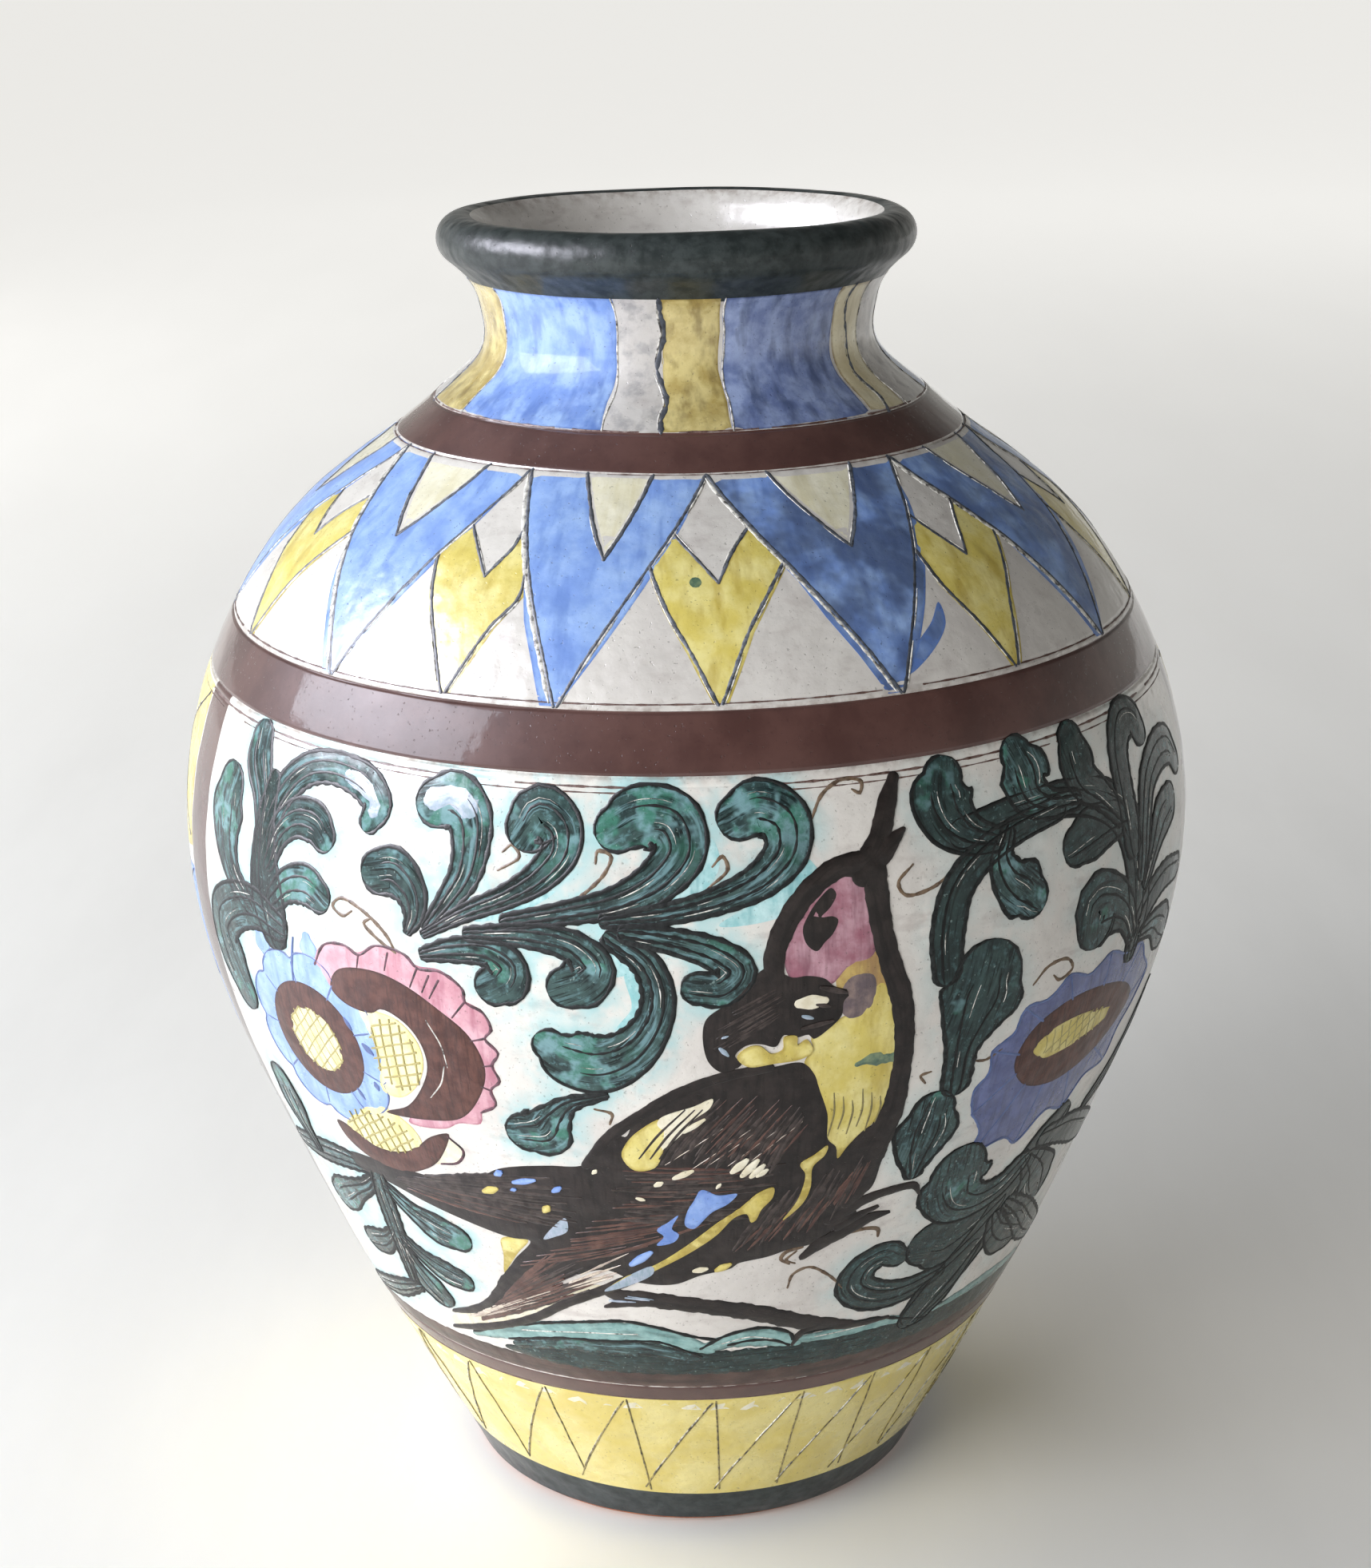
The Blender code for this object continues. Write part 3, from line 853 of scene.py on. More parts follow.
# each leaf: its tone, then (angle, height, half width) from its head to its root
LEAVES = (
    # the plant at the left
    (0.65, (-54.0, 197.5, 3.8), (-53.6, 193.5, 4.6), (-51.6, 187, 3.2), (-50.2, 177, 2.0)),
    (1.00, (-34.4, 188.4, 2.4), (-33.6, 191.6, 3.3), (-35.4, 195, 3.6), (-39.4, 196.7, 3.2),
        (-43.6, 195.6, 3.3), (-46.8, 191.5, 3.4), (-49, 185, 3.2), (-50, 177, 3.0), (-50.4, 170, 2.0)),
    (0.30, (-40.6, 183.4, 3.3), (-41.8, 185.2, 4.1), (-44.8, 185.3, 3.9), (-47.6, 181.4, 3.2),
        (-49.2, 175, 2.4)),
    (0.98, (-40.8, 171.4, 3.4), (-42.6, 172.8, 4.1), (-45.4, 171.6, 3.5), (-48, 167.6, 2.4)),
    (0.55, (-58.8, 185, 5.6), (-59, 180.5, 7.4), (-58.4, 174.5, 5.2), (-56.6, 168.5, 3.2), (-53, 164, 2.2)),
    (0.10, (-49.8, 191, 1.8), (-50.2, 183, 3.0), (-50, 175, 4.4), (-49.2, 167, 5.6), (-48.4, 161, 4.2)),
    (0.45, (-58.6, 142.5, 5.6), (-60, 148.5, 7.6), (-60.6, 155.5, 6.6), (-57, 161, 5.4), (-52, 163.6, 4.4),
        (-47.4, 162, 3.0)),
    (0.70, (-57.5, 119.5, 4.4), (-57.3, 114, 5.3), (-57, 108, 3.3), (-56, 103, 1.7)),
    (0.40, (-63, 100, 2.2), (-56, 102.5, 3.1), (-49, 105, 2.9), (-43, 106, 1.8)),
    (0.50, (-56.5, 88.5, 4.0), (-54, 91, 4.5), (-50, 95, 3), (-46, 99, 2), (-43.3, 103, 1.2)),
    (0.45, (-52.5, 78.5, 3.3), (-50, 80, 3.5), (-47, 83, 2.2), (-44.5, 87, 1.2)),
    (0.80, (-31.9, 93, 4.0), (-34.6, 94, 4.8), (-38, 97, 3), (-41, 101.5, 1.6)),
    (0.45, (-34, 79, 3.3), (-36.5, 79.8, 3.9), (-40, 82.5, 2.4), (-43, 87, 1.2)),
    (0.40, (-40.3, 70.5, 3.8), (-41.5, 73, 4.5), (-43, 78, 2.6), (-43.7, 84, 1.3)),
    (0.30, (-42, 106, 1.8), (-43, 96, 2.7), (-44, 85, 2.5), (-45.5, 72, 1.5)),
    (0.60, (-62, 59.5, 2), (-53, 64, 2.6), (-45, 70, 1.4)),
    # the spray in the middle
    (1.00, (-26.2, 194.2, 4.8), (-24.4, 195, 5.6), (-22.6, 192.5, 4.8), (-22.1, 187, 3.8),
        (-22.6, 181.5, 3.1), (-24.4, 176, 2.2), (-26.6, 170.5, 1.2)),
    (0.40, (-32.6, 179.2, 4.4), (-30.8, 179.8, 4.9), (-28.7, 176.6, 3.6), (-28.2, 172.4, 2.2),
        (-28.9, 169, 0.9)),
    (0.75, (-15.8, 191.6, 4.8), (-14.8, 194, 5.6), (-12.9, 192, 4.6), (-12.6, 187.6, 3.6),
        (-14.6, 182.6, 2.9), (-18, 178.3, 2.1), (-22.5, 174.2, 1.5), (-27, 169, 0.8)),
    (0.90, (-6.8, 192, 4.4), (-4.8, 194, 6.0), (-1.6, 193.4, 5.8), (-0.6, 188.4, 4.9), (-2.6, 183, 4.1),
        (-6.6, 178.7, 2.9), (-12, 176, 2.0), (-18, 173.4, 1.4)),
    (0.90, (5.4, 194, 4.4), (7.2, 195.4, 5.4), (9.8, 193, 4.9), (10, 187.6, 4.2), (7.6, 182.6, 3.4),
        (3.4, 179, 2.5), (-2, 176.4, 1.8), (-8, 175, 1.3)),
    (0.60, (0.9, 161.9, 3.2), (3.2, 161.8, 3.7), (4.7, 165, 3.6), (2.9, 168.3, 3.1), (-1, 171, 2.4),
        (-6, 172.6, 1.6)),
    (0.35, (-11.8, 161.6, 4.2), (-10.6, 162.6, 5.2), (-9.3, 165.6, 4.2), (-11, 169.4, 3.1),
        (-15.6, 171.2, 2.3), (-22, 170.2, 1.3)),
    (0.50, (-19.4, 160.6, 4.0), (-18.4, 161.8, 4.9), (-17.9, 164.6, 3.9), (-20, 167.2, 3.0),
        (-24, 166.6, 2.2), (-27, 165, 1.2)),
    (0.90, (-14, 149, 3.6), (-12.6, 147, 6.0), (-9.4, 145.6, 6.6), (-6, 148.4, 5.0), (-3.6, 154.6, 3.5),
        (-3, 161, 3.0), (-4.2, 167, 2.6), (-7.4, 171.5, 1.8)),
    (0.65, (-17.6, 127.6, 4.8), (-16, 128.2, 6.0), (-14.6, 131.8, 3.8), (-12.8, 135.6, 1.8),
        (-8.8, 138.4, 0.8)),
    # the plant at the right
    (0.15, (27.6, 197, 4.2), (27.2, 194.5, 6.6), (27.8, 189.5, 6.0), (30, 185.5, 4.0), (33, 183.5, 2.4)),
    (0.35, (37.6, 198, 4.0), (38.2, 195, 6.6), (38.6, 190.5, 5.2), (41, 187.5, 3.0), (45, 186.5, 2.0)),
    (0.10, (46.2, 198, 3.6), (46.4, 194, 5.2), (47, 189.5, 4.6), (49.5, 185.5, 3.4), (52.5, 180, 2.4)),
    (0.10, (60.4, 193.5, 3.4), (59.6, 196.5, 4.0), (56.8, 196.8, 4.2), (54.8, 193, 3.8), (54.3, 184, 3.4),
        (55, 173, 3.4)),
    (0.25, (70.6, 182, 3.4), (68.6, 186, 4.2), (64, 186.6, 4.2), (60, 183, 3.6), (58, 175, 3.0),
        (57, 166, 2.4)),
    (0.25, (66, 175, 4.4), (63, 173.6, 4.8), (60.3, 169, 3.0), (58, 163, 1.8)),
    (0.15, (29, 186, 3.0), (36, 187.4, 3.4), (44, 187.2, 3.6), (50, 184, 4.4), (54, 178, 5.0),
        (56, 168, 5.2), (56.6, 156, 4.4), (56, 149, 2.6)),
    (0.10, (44.4, 177.5, 4.2), (46.6, 178.6, 5.4), (50, 179.3, 4.6), (53.6, 179, 3.2)),
    (0.20, (47.4, 161, 6.4), (47.6, 162.4, 8.2), (50.6, 162, 6.6), (53.6, 158.6, 4.0), (55.4, 153.5, 2.4)),
    (0.60, (37, 171, 4.6), (36.2, 172.4, 6.2), (34.4, 175.5, 4.4), (33.6, 180, 2.8), (34.6, 184, 1.8)),
    (0.10, (42, 186, 2.4), (36, 184.4, 2.6), (31.4, 181.4, 3.0), (28, 176, 3.4), (26.6, 168, 3.6),
        (26.6, 160, 3.0)),
    (0.20, (31.6, 156, 8.6), (31.2, 153, 10.6), (30.2, 147.5, 7.4), (29.5, 141.5, 4.0), (29.5, 134, 3.4)),
    (0.30, (27.2, 127.6, 5.2), (27, 123.5, 7.6), (26.6, 117.5, 5.4), (26.5, 112.6, 2.2)),
    (0.25, (33.6, 108.5, 7.2), (33.8, 105.5, 9.4), (35.4, 99.5, 7.0), (38.6, 97, 5.0), (43, 98, 4.0),
        (46, 102, 3.4)),
    (0.20, (28.2, 86.5, 2.6), (26, 88.8, 3.6), (22.9, 86.2, 4.0), (22.4, 80.6, 4.2), (25.6, 76.2, 4.4),
        (31, 74.6, 3.8), (36.6, 76.6, 2.6)),
    (0.10, (33.8, 88, 7.0), (35.6, 87.4, 8.8), (39.4, 89, 6.2), (43.4, 92.6, 3.8)),
    (0.10, (35, 64, 3.4), (39.5, 73, 5.4), (44, 84, 5.6), (47, 95, 5.8), (49.6, 106, 5.4), (52, 111, 3.4)),
    (0.10, (36.4, 66, 5.2), (38, 69.6, 6.4), (41, 75, 4.4), (43, 80, 2.6)),
    (0.15, (54.4, 89.6, 6.0), (53, 93, 7.0), (50.6, 98, 4.8), (48, 102, 2.8)),
    (0.15, (53.6, 77, 5.0), (51.4, 78.4, 6.0), (47.6, 82.5, 4.2), (45.6, 87, 2.6)),
    (0.10, (69, 95.5, 3.4), (62.5, 100, 4.2), (56, 104.6, 4.0), (50, 107, 3.0)),
    (0.15, (66, 69, 3.2), (59, 75.5, 4.4), (52.6, 84, 3.6), (47.6, 90, 2.4)),
    (0.10, (70.5, 158.6, 2.8), (64, 160.3, 3.4), (59, 157.6, 3.6), (56.2, 151.6, 2.8)),
    (0.25, (68, 146, 4.6), (66, 148, 5.4), (62.4, 151, 3.2), (58.4, 151.5, 1.8)),
    (0.20, (71.5, 128, 4.0), (70, 121, 5.2), (66, 113, 3.8), (60.5, 108, 2.4)),
)

TENDRILS = (  # thin curled lines between the leaves
    ((-19, 183), (-16.8, 186), (-17.6, 188), (-18.6, 186.5)),
    ((-13, 176), (-10, 180), (-8, 184), (-7.5, 187), (-8.8, 187.8), (-9, 185.5)),
    ((2, 181), (4, 184.5), (3.5, 186.8), (2.5, 185)),
    ((12.5, 192), (14, 197), (16.3, 199.3), (18.3, 198.5), (18, 196.5), (17.2, 197.3)),
    ((28, 180), (25, 177), (22, 176.5), (21.3, 179), (23, 182)),
    ((38, 152), (40, 155), (43, 155), (44, 152.5), (42, 151), (41, 152.5)),
    ((12.5, 84), (13, 88), (15, 89.5), (18, 86), (20.5, 81)),
    ((-10, 135), (-8.2, 134), (-8.5, 131.5)),
    ((31.5, 138), (33, 137.5), (35, 139)),
    ((26, 138), (24.8, 137.5), (25.5, 135.5)),
    ((-30.5, 164), (-31.5, 167), (-34, 170.5), (-37.5, 172.4), (-38.6, 170.4), (-37.2, 169), (-36, 170.4)),
    ((-30.5, 164), (-33, 166.4), (-34.4, 168.6), (-33.4, 170)),
    ((13, 95), (11.8, 92.5), (13, 91.3)),
)

CUSHIONS = (  # the pale turquoise washes that lie beside the leaves
    ((-1, 193), (2.6, 190), (3.2, 185), (1.5, 180.5), (-3, 178), (-1, 182), (1, 187)),
    ((11.5, 186), (13.2, 182), (12, 177.5), (8, 174.5), (3, 174), (6, 177.5), (9.5, 181.5)),
    ((-4.5, 168), (-2.8, 160), (-3.4, 153), (-5.3, 149), (-7.2, 153), (-5.6, 158), (-6.2, 165)),
    ((-24, 177), (-18, 177), (-13, 180), (-16, 176), (-22, 173)),
    ((-12, 172), (-7, 169), (-4.8, 166), (-8, 164), (-9, 168)),
)


def plants(easel):
    """The washes, leaves and tendrils of the three plants."""
    for outline in CUSHIONS:
        easel.fill("wash", outline, lift=0.05, rise=0.03)
    for tone, *points in LEAVES:
        easel.leaf(points, tone)
    for points in TENDRILS:
        line = [(*p, 0.36 if 0 < i < len(points) - 1 else 0.20) for i, p in enumerate(points)]
        easel.stroke("tendril", line, lift=0.08, rise=0.06, step=0.6, wobble=0.25)


def flowers(easel):
    """The four flowers: two at the left, a yellow one under them, and one at the right."""
    fill, stroke, dabs = easel.fill, easel.stroke, easel.dabs
    rosette(easel, (-44.4, 138.6), 19.4, 13.3, 7.8, 9, 0.97, 20)
    dabs("blue", (-42.5, 158, -42.8, 162, 2.6), (-50.5, 155, -51.5, 159, 3.0), lift=0.06, rise=0.05,
        tone=0.9)
    dabs("blue_line", (-36.6, 141.4, -35.6, 139.8, 0.9), (-36.4, 132.2, -36.2, 130.8, 0.8),
        (-39.6, 129, -39, 127, 0.6), (-38.6, 146.5, -37.9, 144.4, 0.6), lift=0.16, tone=0.1)
    stroke("blue_line", [(-46, 151.5, 0.3), (-45.6, 156, 0.35), (-45, 161, 0.2)], lift=0.16, tone=0.1)

    # the pink one, half hidden behind the blue one
    fill("pink", [(-40, 152), (-42, 157), (-40.5, 161.5), (-37.5, 163), (-35.4, 162.3), (-33, 164.8),
        (-29.4, 164.2), (-28.2, 162.4), (-25.3, 162.2), (-23, 159), (-23, 157), (-21, 155), (-20.2, 151),
        (-20.9, 149.3), (-19.7, 146), (-20.4, 143), (-19.9, 139.5), (-21, 137), (-20.8, 133.5),
        (-22.6, 131.5), (-23.2, 128), (-26, 127), (-28, 124.8), (-33, 124.2), (-30, 130), (-24, 140),
        (-28, 152), (-34, 156)], lift=0.06, rise=0.05)
    fill("ring", [(-39.8, 153), (-38.5, 157.3), (-34, 159.3), (-30, 158), (-26, 154), (-22.7, 149),
        (-21.4, 142), (-22.6, 135), (-25.5, 128.6), (-30, 126.2), (-36, 125.3), (-32.6, 128.4),
        (-30, 133.8), (-28.4, 140), (-28.6, 145), (-29.9, 148.8), (-32, 151), (-33.2, 151.2),
        (-34.4, 149.8), (-38, 150.3)], lift=0.15, rise=0.08)
    fill("pale_yellow", [(-36.2, 150), (-33.6, 150.4), (-31, 149.4), (-29, 145), (-28.9, 140), (-30.6, 134),
        (-33.4, 130.2), (-35.6, 131), (-35.2, 136), (-35, 143)], lift=0.12, rise=0.06, tone=0.6)
    hatch(easel, (-32.4, 141), 6.0, 8.6, 20)
    # two pale burr strokes across the centre, partly a painted highlight
    for start, end in (((-27.5, 151), (-25.8, 141)), ((-26.2, 141), (-28.8, 132.5))):
        stroke("burr", [(*start, 0.13), ((start[0] + end[0]) / 2 + 0.5, (start[1] + end[1]) / 2, 0.16),
            (*end, 0.1)], lift=0.26, rise=0.02)
    scallops = ((-41.8, 157), (-40, 162), (-37, 163), (-35.3, 161.8), (-33, 164.6), (-29.4, 164),
        (-28, 161.8), (-25.2, 161.8), (-22.9, 158.8), (-22.8, 156.4), (-20.9, 154.6), (-20.2, 151),
        (-21, 149), (-19.7, 146), (-20.6, 143), (-20, 139.5), (-21.2, 137), (-20.9, 133.5), (-22.8, 131))
    stroke("line", [(*p, 0.27) for p in scallops], lift=0.13, rise=0.04, tone=0.5, wobble=0.4)
    for outer, inner in (((-35.3, 161.8), (-35.6, 159.2)), ((-28, 161.8), (-29, 157.6)),
            ((-22.8, 156.4), (-24.4, 152.6)), ((-21, 149), (-22.6, 148)), ((-20.6, 143), (-21.5, 142.6)),
            ((-21.2, 137), (-22.2, 137.6)), ((-31.5, 163.6), (-32, 160)), ((-25.6, 160), (-26.8, 156)),
            ((-26.7, 160.6), (-27.6, 157))):
        stroke("line", [(*outer, 0.26), (*inner, 0.18)], lift=0.13, rise=0.04, tone=0.3)

    # the yellow one under them
    fill("cream", [(-28, 122.5), (-26.4, 119.5), (-27.6, 116), (-30, 114.5), (-33, 113.5), (-31, 118)],
        lift=0.06, rise=0.04)
    stroke("line", [(-28, 122.8, 0.2), (-26.4, 119.5, 0.3), (-27.6, 116, 0.3), (-30, 114.6, 0.25)],
        lift=0.12, tone=0.2)
    fill("ring", [(-46.2, 117), (-45.6, 113.5), (-43, 110.3), (-38, 108.3), (-33, 111.6), (-30.2, 115.5),
        (-27.8, 123.5), (-30.5, 121.5), (-32.8, 118), (-36, 114.8), (-40, 114), (-43.6, 116.6)], lift=0.15,
        rise=0.08)
    fill("pale_yellow", [(-44.3, 117), (-42.5, 120.5), (-37, 126.3), (-32.7, 122.6), (-32.2, 117.8),
        (-36, 114), (-40, 113.4)], lift=0.11, rise=0.05, tone=0.4)
    hatch(easel, (-38.3, 119), 9.5, 5.0, 35)

    # the blue one at the right
    edge = [(33, 124), (32.4, 130), (34, 134), (33.8, 139), (36.4, 142), (37.5, 147), (41, 147.5),
        (44, 151), (47.5, 149), (51.5, 151.5), (55, 149), (59.5, 148.5), (61.5, 144), (64.5, 139),
        (62.5, 133), (60, 128), (59, 120.5), (54, 120), (51, 114), (47, 116), (42.5, 110.5), (40, 113.5),
        (35, 113), (35, 118.5)]
    fill("dusk", edge, lift=0.07, rise=0.05, tone=0.2)
    fill("ring", [(37.5, 134), (39, 141), (44, 145), (51, 144.5), (57.5, 140.5), (60, 136), (57, 130),
        (51, 125.5), (45, 124.5), (40, 127.5)], lift=0.15, rise=0.08)
    fill("yellow", [(39.8, 136), (42, 139.3), (46, 140.4), (50.5, 139.2), (55.5, 136.2), (51, 133.6),
        (46, 132.4), (42, 132.6)], lift=0.24, rise=0.05, tone=0.4)
    hatch(easel, (47, 136.4), 12.5, 3.4, 30)
    stroke("blue_line", [(*p, 0.3) for p in edge + edge[:1]], lift=0.13, rise=0.04, tone=0.2, wobble=0.4)
    for tip, root in (((33.8, 139), (38, 136)), ((37.5, 147), (40.5, 142.6)), ((44, 151), (45, 145)),
            ((51.5, 151.5), (51, 144.5)), ((59.5, 148.5), (56, 142)), ((64.5, 139), (60, 136)),
            ((59, 120.5), (54, 127)), ((51, 114), (49, 124.6)), ((42.5, 110.5), (44, 124.6)),
            ((35, 113), (40.4, 127)), ((33, 124), (38.2, 131))):
        stroke("blue_line", [(*tip, 0.3), (*root, 0.35)], lift=0.13, rise=0.04, tone=0.1)


def feathers(easel, colour, start, end, count, half, bow=0.0, **looks):
    """Brush strokes side by side: each runs between a point of one short line and a point of another."""
    for i in range(count):
        t = (i + rng.uniform(0.1, 0.9)) / count
        (a, s), (b, u) = ([p + (q - p) * t for p, q in zip(*line)] for line in (start, end))
        cut, reach = rng.uniform(0.0, 0.25), rng.uniform(0.75, 1.0)
        run = [(a + (b - a) * k, s + (u - s) * k + bow * math.sin(math.pi * k))
            for k in (cut, (cut + reach) / 2, reach)]
        w = half * rng.uniform(0.6, 1.2)
        easel.stroke(colour, [(*run[0], w * 0.3), (*run[1], w), (*run[2], w * 0.25)], tone=rng.random(),
            wobble=0.35, **looks)


# feathers drawn side by side: colour, the short lines they run between, number, half width, bow
BODY_FEATHERS = (
    ("soot", ((-40, 105), (-36, 108.6)), ((-14, 100), (-12, 118)), 14, 0.9, 1.0),
    ("soot", ((-12, 106), (-10, 119)), ((6, 104), (12, 122)), 12, 0.9),
    ("soot", ((-4, 120), (9, 117)), ((3, 138), (13, 134)), 16, 0.8, 1.2),
    ("soot", ((4, 96), (18, 104)), ((9, 112), (20.6, 122)), 12, 0.8),
    ("rust", ((-38, 104.4), (-34, 108)), ((-20, 102), (-22, 110)), 6, 0.5),
    ("rust", ((-10, 108), (-8, 122)), ((4, 112), (10, 120)), 9, 0.38),
    ("rust", ((-2, 126), (6, 122)), ((4, 139), (12, 137)), 8, 0.30),
    ("rust", ((4, 96), (14, 100)), ((9, 106), (17, 112)), 7, 0.40),
    ("tail_pale", ((-4, 121), (6, 119)), ((5, 134), (13, 131)), 5, 0.13),
    ("rust", ((-16, 92), (-4, 101)), ((-5, 99), (5, 108)), 6, 0.30),
    ("rust", ((-24, 88), (-13, 105)), ((-6, 99), (2, 110)), 10, 0.5),
    ("rust", ((0.2, 121.6), (9.6, 122)), ((4.8, 130), (13, 131)), 7, 0.42),
    ("rust", ((15, 105), (19, 108)), ((18.4, 116), (21, 121)), 6, 0.5),
)
TAIL_FEATHERS = (
    ("rust", ((-34, 66), (-27, 78)), ((-12, 86), (-18, 96)), 13, 0.75),
    ("soot", ((-33, 66), (-26, 80)), ((-10, 87), (-14, 97)), 9, 0.5),
    ("tail_pale", ((-37, 65.2), (-29, 74)), ((-22, 76.5), (-16, 86)), 6, 0.55),
    ("tail_pale", ((-20, 80.5), (-14, 90)), ((-8, 89.4), (-7, 99)), 4, 0.3),
)


def bird(easel):
    """A long-tailed garden bird with its head turned back, resting among the flowers."""
    fill, stroke, dabs = easel.fill, easel.stroke, easel.dabs
    black = dict(lift=0.22, rise=0.14, wobble=0.07)
    branch = dict(lift=0.14, rise=0.12, wobble=0.12)
    under = dict(lift=0.10, rise=0.06)
    dark = dict(lift=0.30, rise=0.10)
    light = dict(lift=0.34, rise=0.05)
    over = dict(lift=0.46, rise=0.05)
    fill("yellow", [(12.2, 150.4), (15, 153.6), (17, 156), (18.8, 162.6), (20.3, 158), (21.4, 150),
        (21.6, 141), (20.8, 131), (19.6, 127.4), (17.6, 123.6), (16.4, 119.6), (15.6, 123.8), (14.4, 126),
        (14, 133), (12.8, 139.4), (11.6, 145), (12.4, 147.6)], tone=0.5, **under)
    fill("rust_yellow", [(14.6, 160.4), (15, 164.2), (17.4, 166.4), (19.2, 166), (19.8, 160), (19, 155),
        (17, 154.6)], lift=0.115, rise=0.03)
    fill("plum", [(9.4, 169), (10.8, 174.4), (13.6, 180.2), (17, 182), (18.2, 177), (18.8, 168),
        (17.8, 164.8), (15.6, 163.8), (14, 161), (11.4, 161.6), (9.8, 163.4)], tone=0.5, lift=0.13,
        rise=0.04)
    fill("smear", [(15.2, 160), (16.2, 162.2), (18.4, 162), (18.7, 158), (18, 154.6), (16, 153.6),
        (15, 156)], lift=0.17, rise=0.03)
    # the neck's and back's outlines
    stroke("black", [(8.4, 162.6, 1.9), (8.4, 168, 2.0), (9.8, 174.4, 2.1), (12.2, 180, 2.1),
        (15, 183.3, 2.1), (18, 184, 2.4), (19.6, 188, 2.1), (20.8, 194, 1.9), (21.9, 198.6, 1.1)], **black)
    stroke("black", [(17.6, 181.5, 2.4), (19.6, 185, 2.4), (21.3, 187.4, 1.4), (22.3, 188.8, 0.5)], **black)
    stroke("black", [(18.6, 184, 2.6), (18.9, 178, 2.4), (19.3, 171, 2.2), (20.2, 164, 2.2),
        (21.5, 156.5, 2.3), (22.2, 148, 2.1), (22.3, 139, 2.1), (21.9, 130, 2.6), (20.4, 122, 3.4),
        (19.4, 114, 3.4), (18.6, 108.5, 2.6)], **black)
    fill("black", [(11.6, 169.4), (11.2, 172.4), (11.8, 175), (12.8, 177.6), (14.2, 179.7), (14.7, 178.4),
        (14, 176), (13.1, 174.4), (14.2, 174.4), (14.8, 173.6), (14.2, 171), (13.4, 169.6), (12.6, 168)],
        lift=0.20, rise=0.10, step=0.7)
    # head
    fill("black", [(1.3, 152), (1.7, 155.6), (3.4, 158.2), (4.6, 160), (6, 163), (7.6, 165.4),
        (10.2, 163.2), (11.6, 163.3), (13.4, 162.4), (14.4, 160.6), (16.2, 159.2), (15.4, 157.4),
        (15.2, 154.4), (13.8, 151.6), (12.4, 150), (11.9, 151), (10.6, 150.6), (9.4, 151.4), (8.6, 149),
        (7, 149.8), (5.6, 149.6), (4.5, 147.4), (5.2, 145.6), (3.3, 143.9), (1.9, 146.2)], lift=0.20,
        rise=0.16, step=0.7)
    feathers(easel, "soot", ((2.2, 147), (3, 156)), ((10.5, 157), (9, 162)), 9, half=0.5, **dark)
    fill("yellow", [(4.7, 147.2), (5.9, 149.3), (7, 149.4), (8.2, 147.5), (9.3, 148.2), (9.4, 150.9),
        (10.7, 151), (10.8, 149), (11.7, 150), (12.4, 147.4), (11.3, 145.9), (8.4, 145.3), (5.8, 145)],
        tone=0.3, lift=0.34, rise=0.05, step=0.7)
    dabs("cream", (10.8, 157.9, 13.4, 158.1, 1.5), tone=0.2, **over)
    dabs("soot", (12.6, 157.4, 13.9, 156.8, 0.5), (11.2, 152.6, 14.3, 153.6, 0.5),
        (13, 160.8, 15.6, 159.2, 0.6), lift=0.50, rise=0.06)
    dabs("bloom", (11.2, 155.2, 12.2, 154.6, 0.45), (3, 149.4, 3.8, 147.8, 0.5),
        (3.2, 151.6, 3.8, 152, 0.25), tone=0.9, **over)
    # body and wing
    fill("black", [(-1.4, 139.4), (1.2, 141.2), (4.2, 143), (8.4, 144.4), (11.4, 144.8), (12.7, 142),
        (13.4, 138.2), (14.5, 132), (14.9, 125.6), (15.9, 123.4), (16.3, 120.2), (17.4, 123.4),
        (19.8, 127.4), (22.2, 124), (21.8, 117), (21.2, 110.6), (19.6, 107.6), (20, 102), (17, 99.6),
        (14.6, 96.6), (12.4, 96.2), (9.4, 94.4), (5.6, 93), (4.9, 91.8), (1, 90), (-2.5, 87.4),
        (-7.2, 87.9), (-11, 91), (-16, 88), (-21, 84), (-25.4, 84.4), (-23.6, 90), (-20.4, 97.2),
        (-23, 97.2), (-30, 99.8), (-35, 101.8), (-40.2, 103.8), (-46, 104.8), (-46.6, 108), (-41, 109.6),
        (-35, 109.9), (-28.7, 110.4), (-25.2, 113.2), (-22.4, 116.4), (-20, 117.9), (-16.2, 119.3),
        (-12, 120.4), (-10, 124.6), (-8.6, 130), (-7, 128.4), (-5.8, 133), (-3.4, 136.4)], lift=0.16,
        rise=0.14, step=0.9)
    stroke("black", [(-11.6, 120.6, 1.0), (-8.6, 128.4, 1.3), (-5.4, 133.6, 1.2), (-1.6, 138.8, 1.2),
        (3, 142.6, 1.1), (8, 144.4, 1.0)], **black)
    for colour, *row in BODY_FEATHERS:
        feathers(easel, colour, *row, **(dark if colour == "soot" else light))
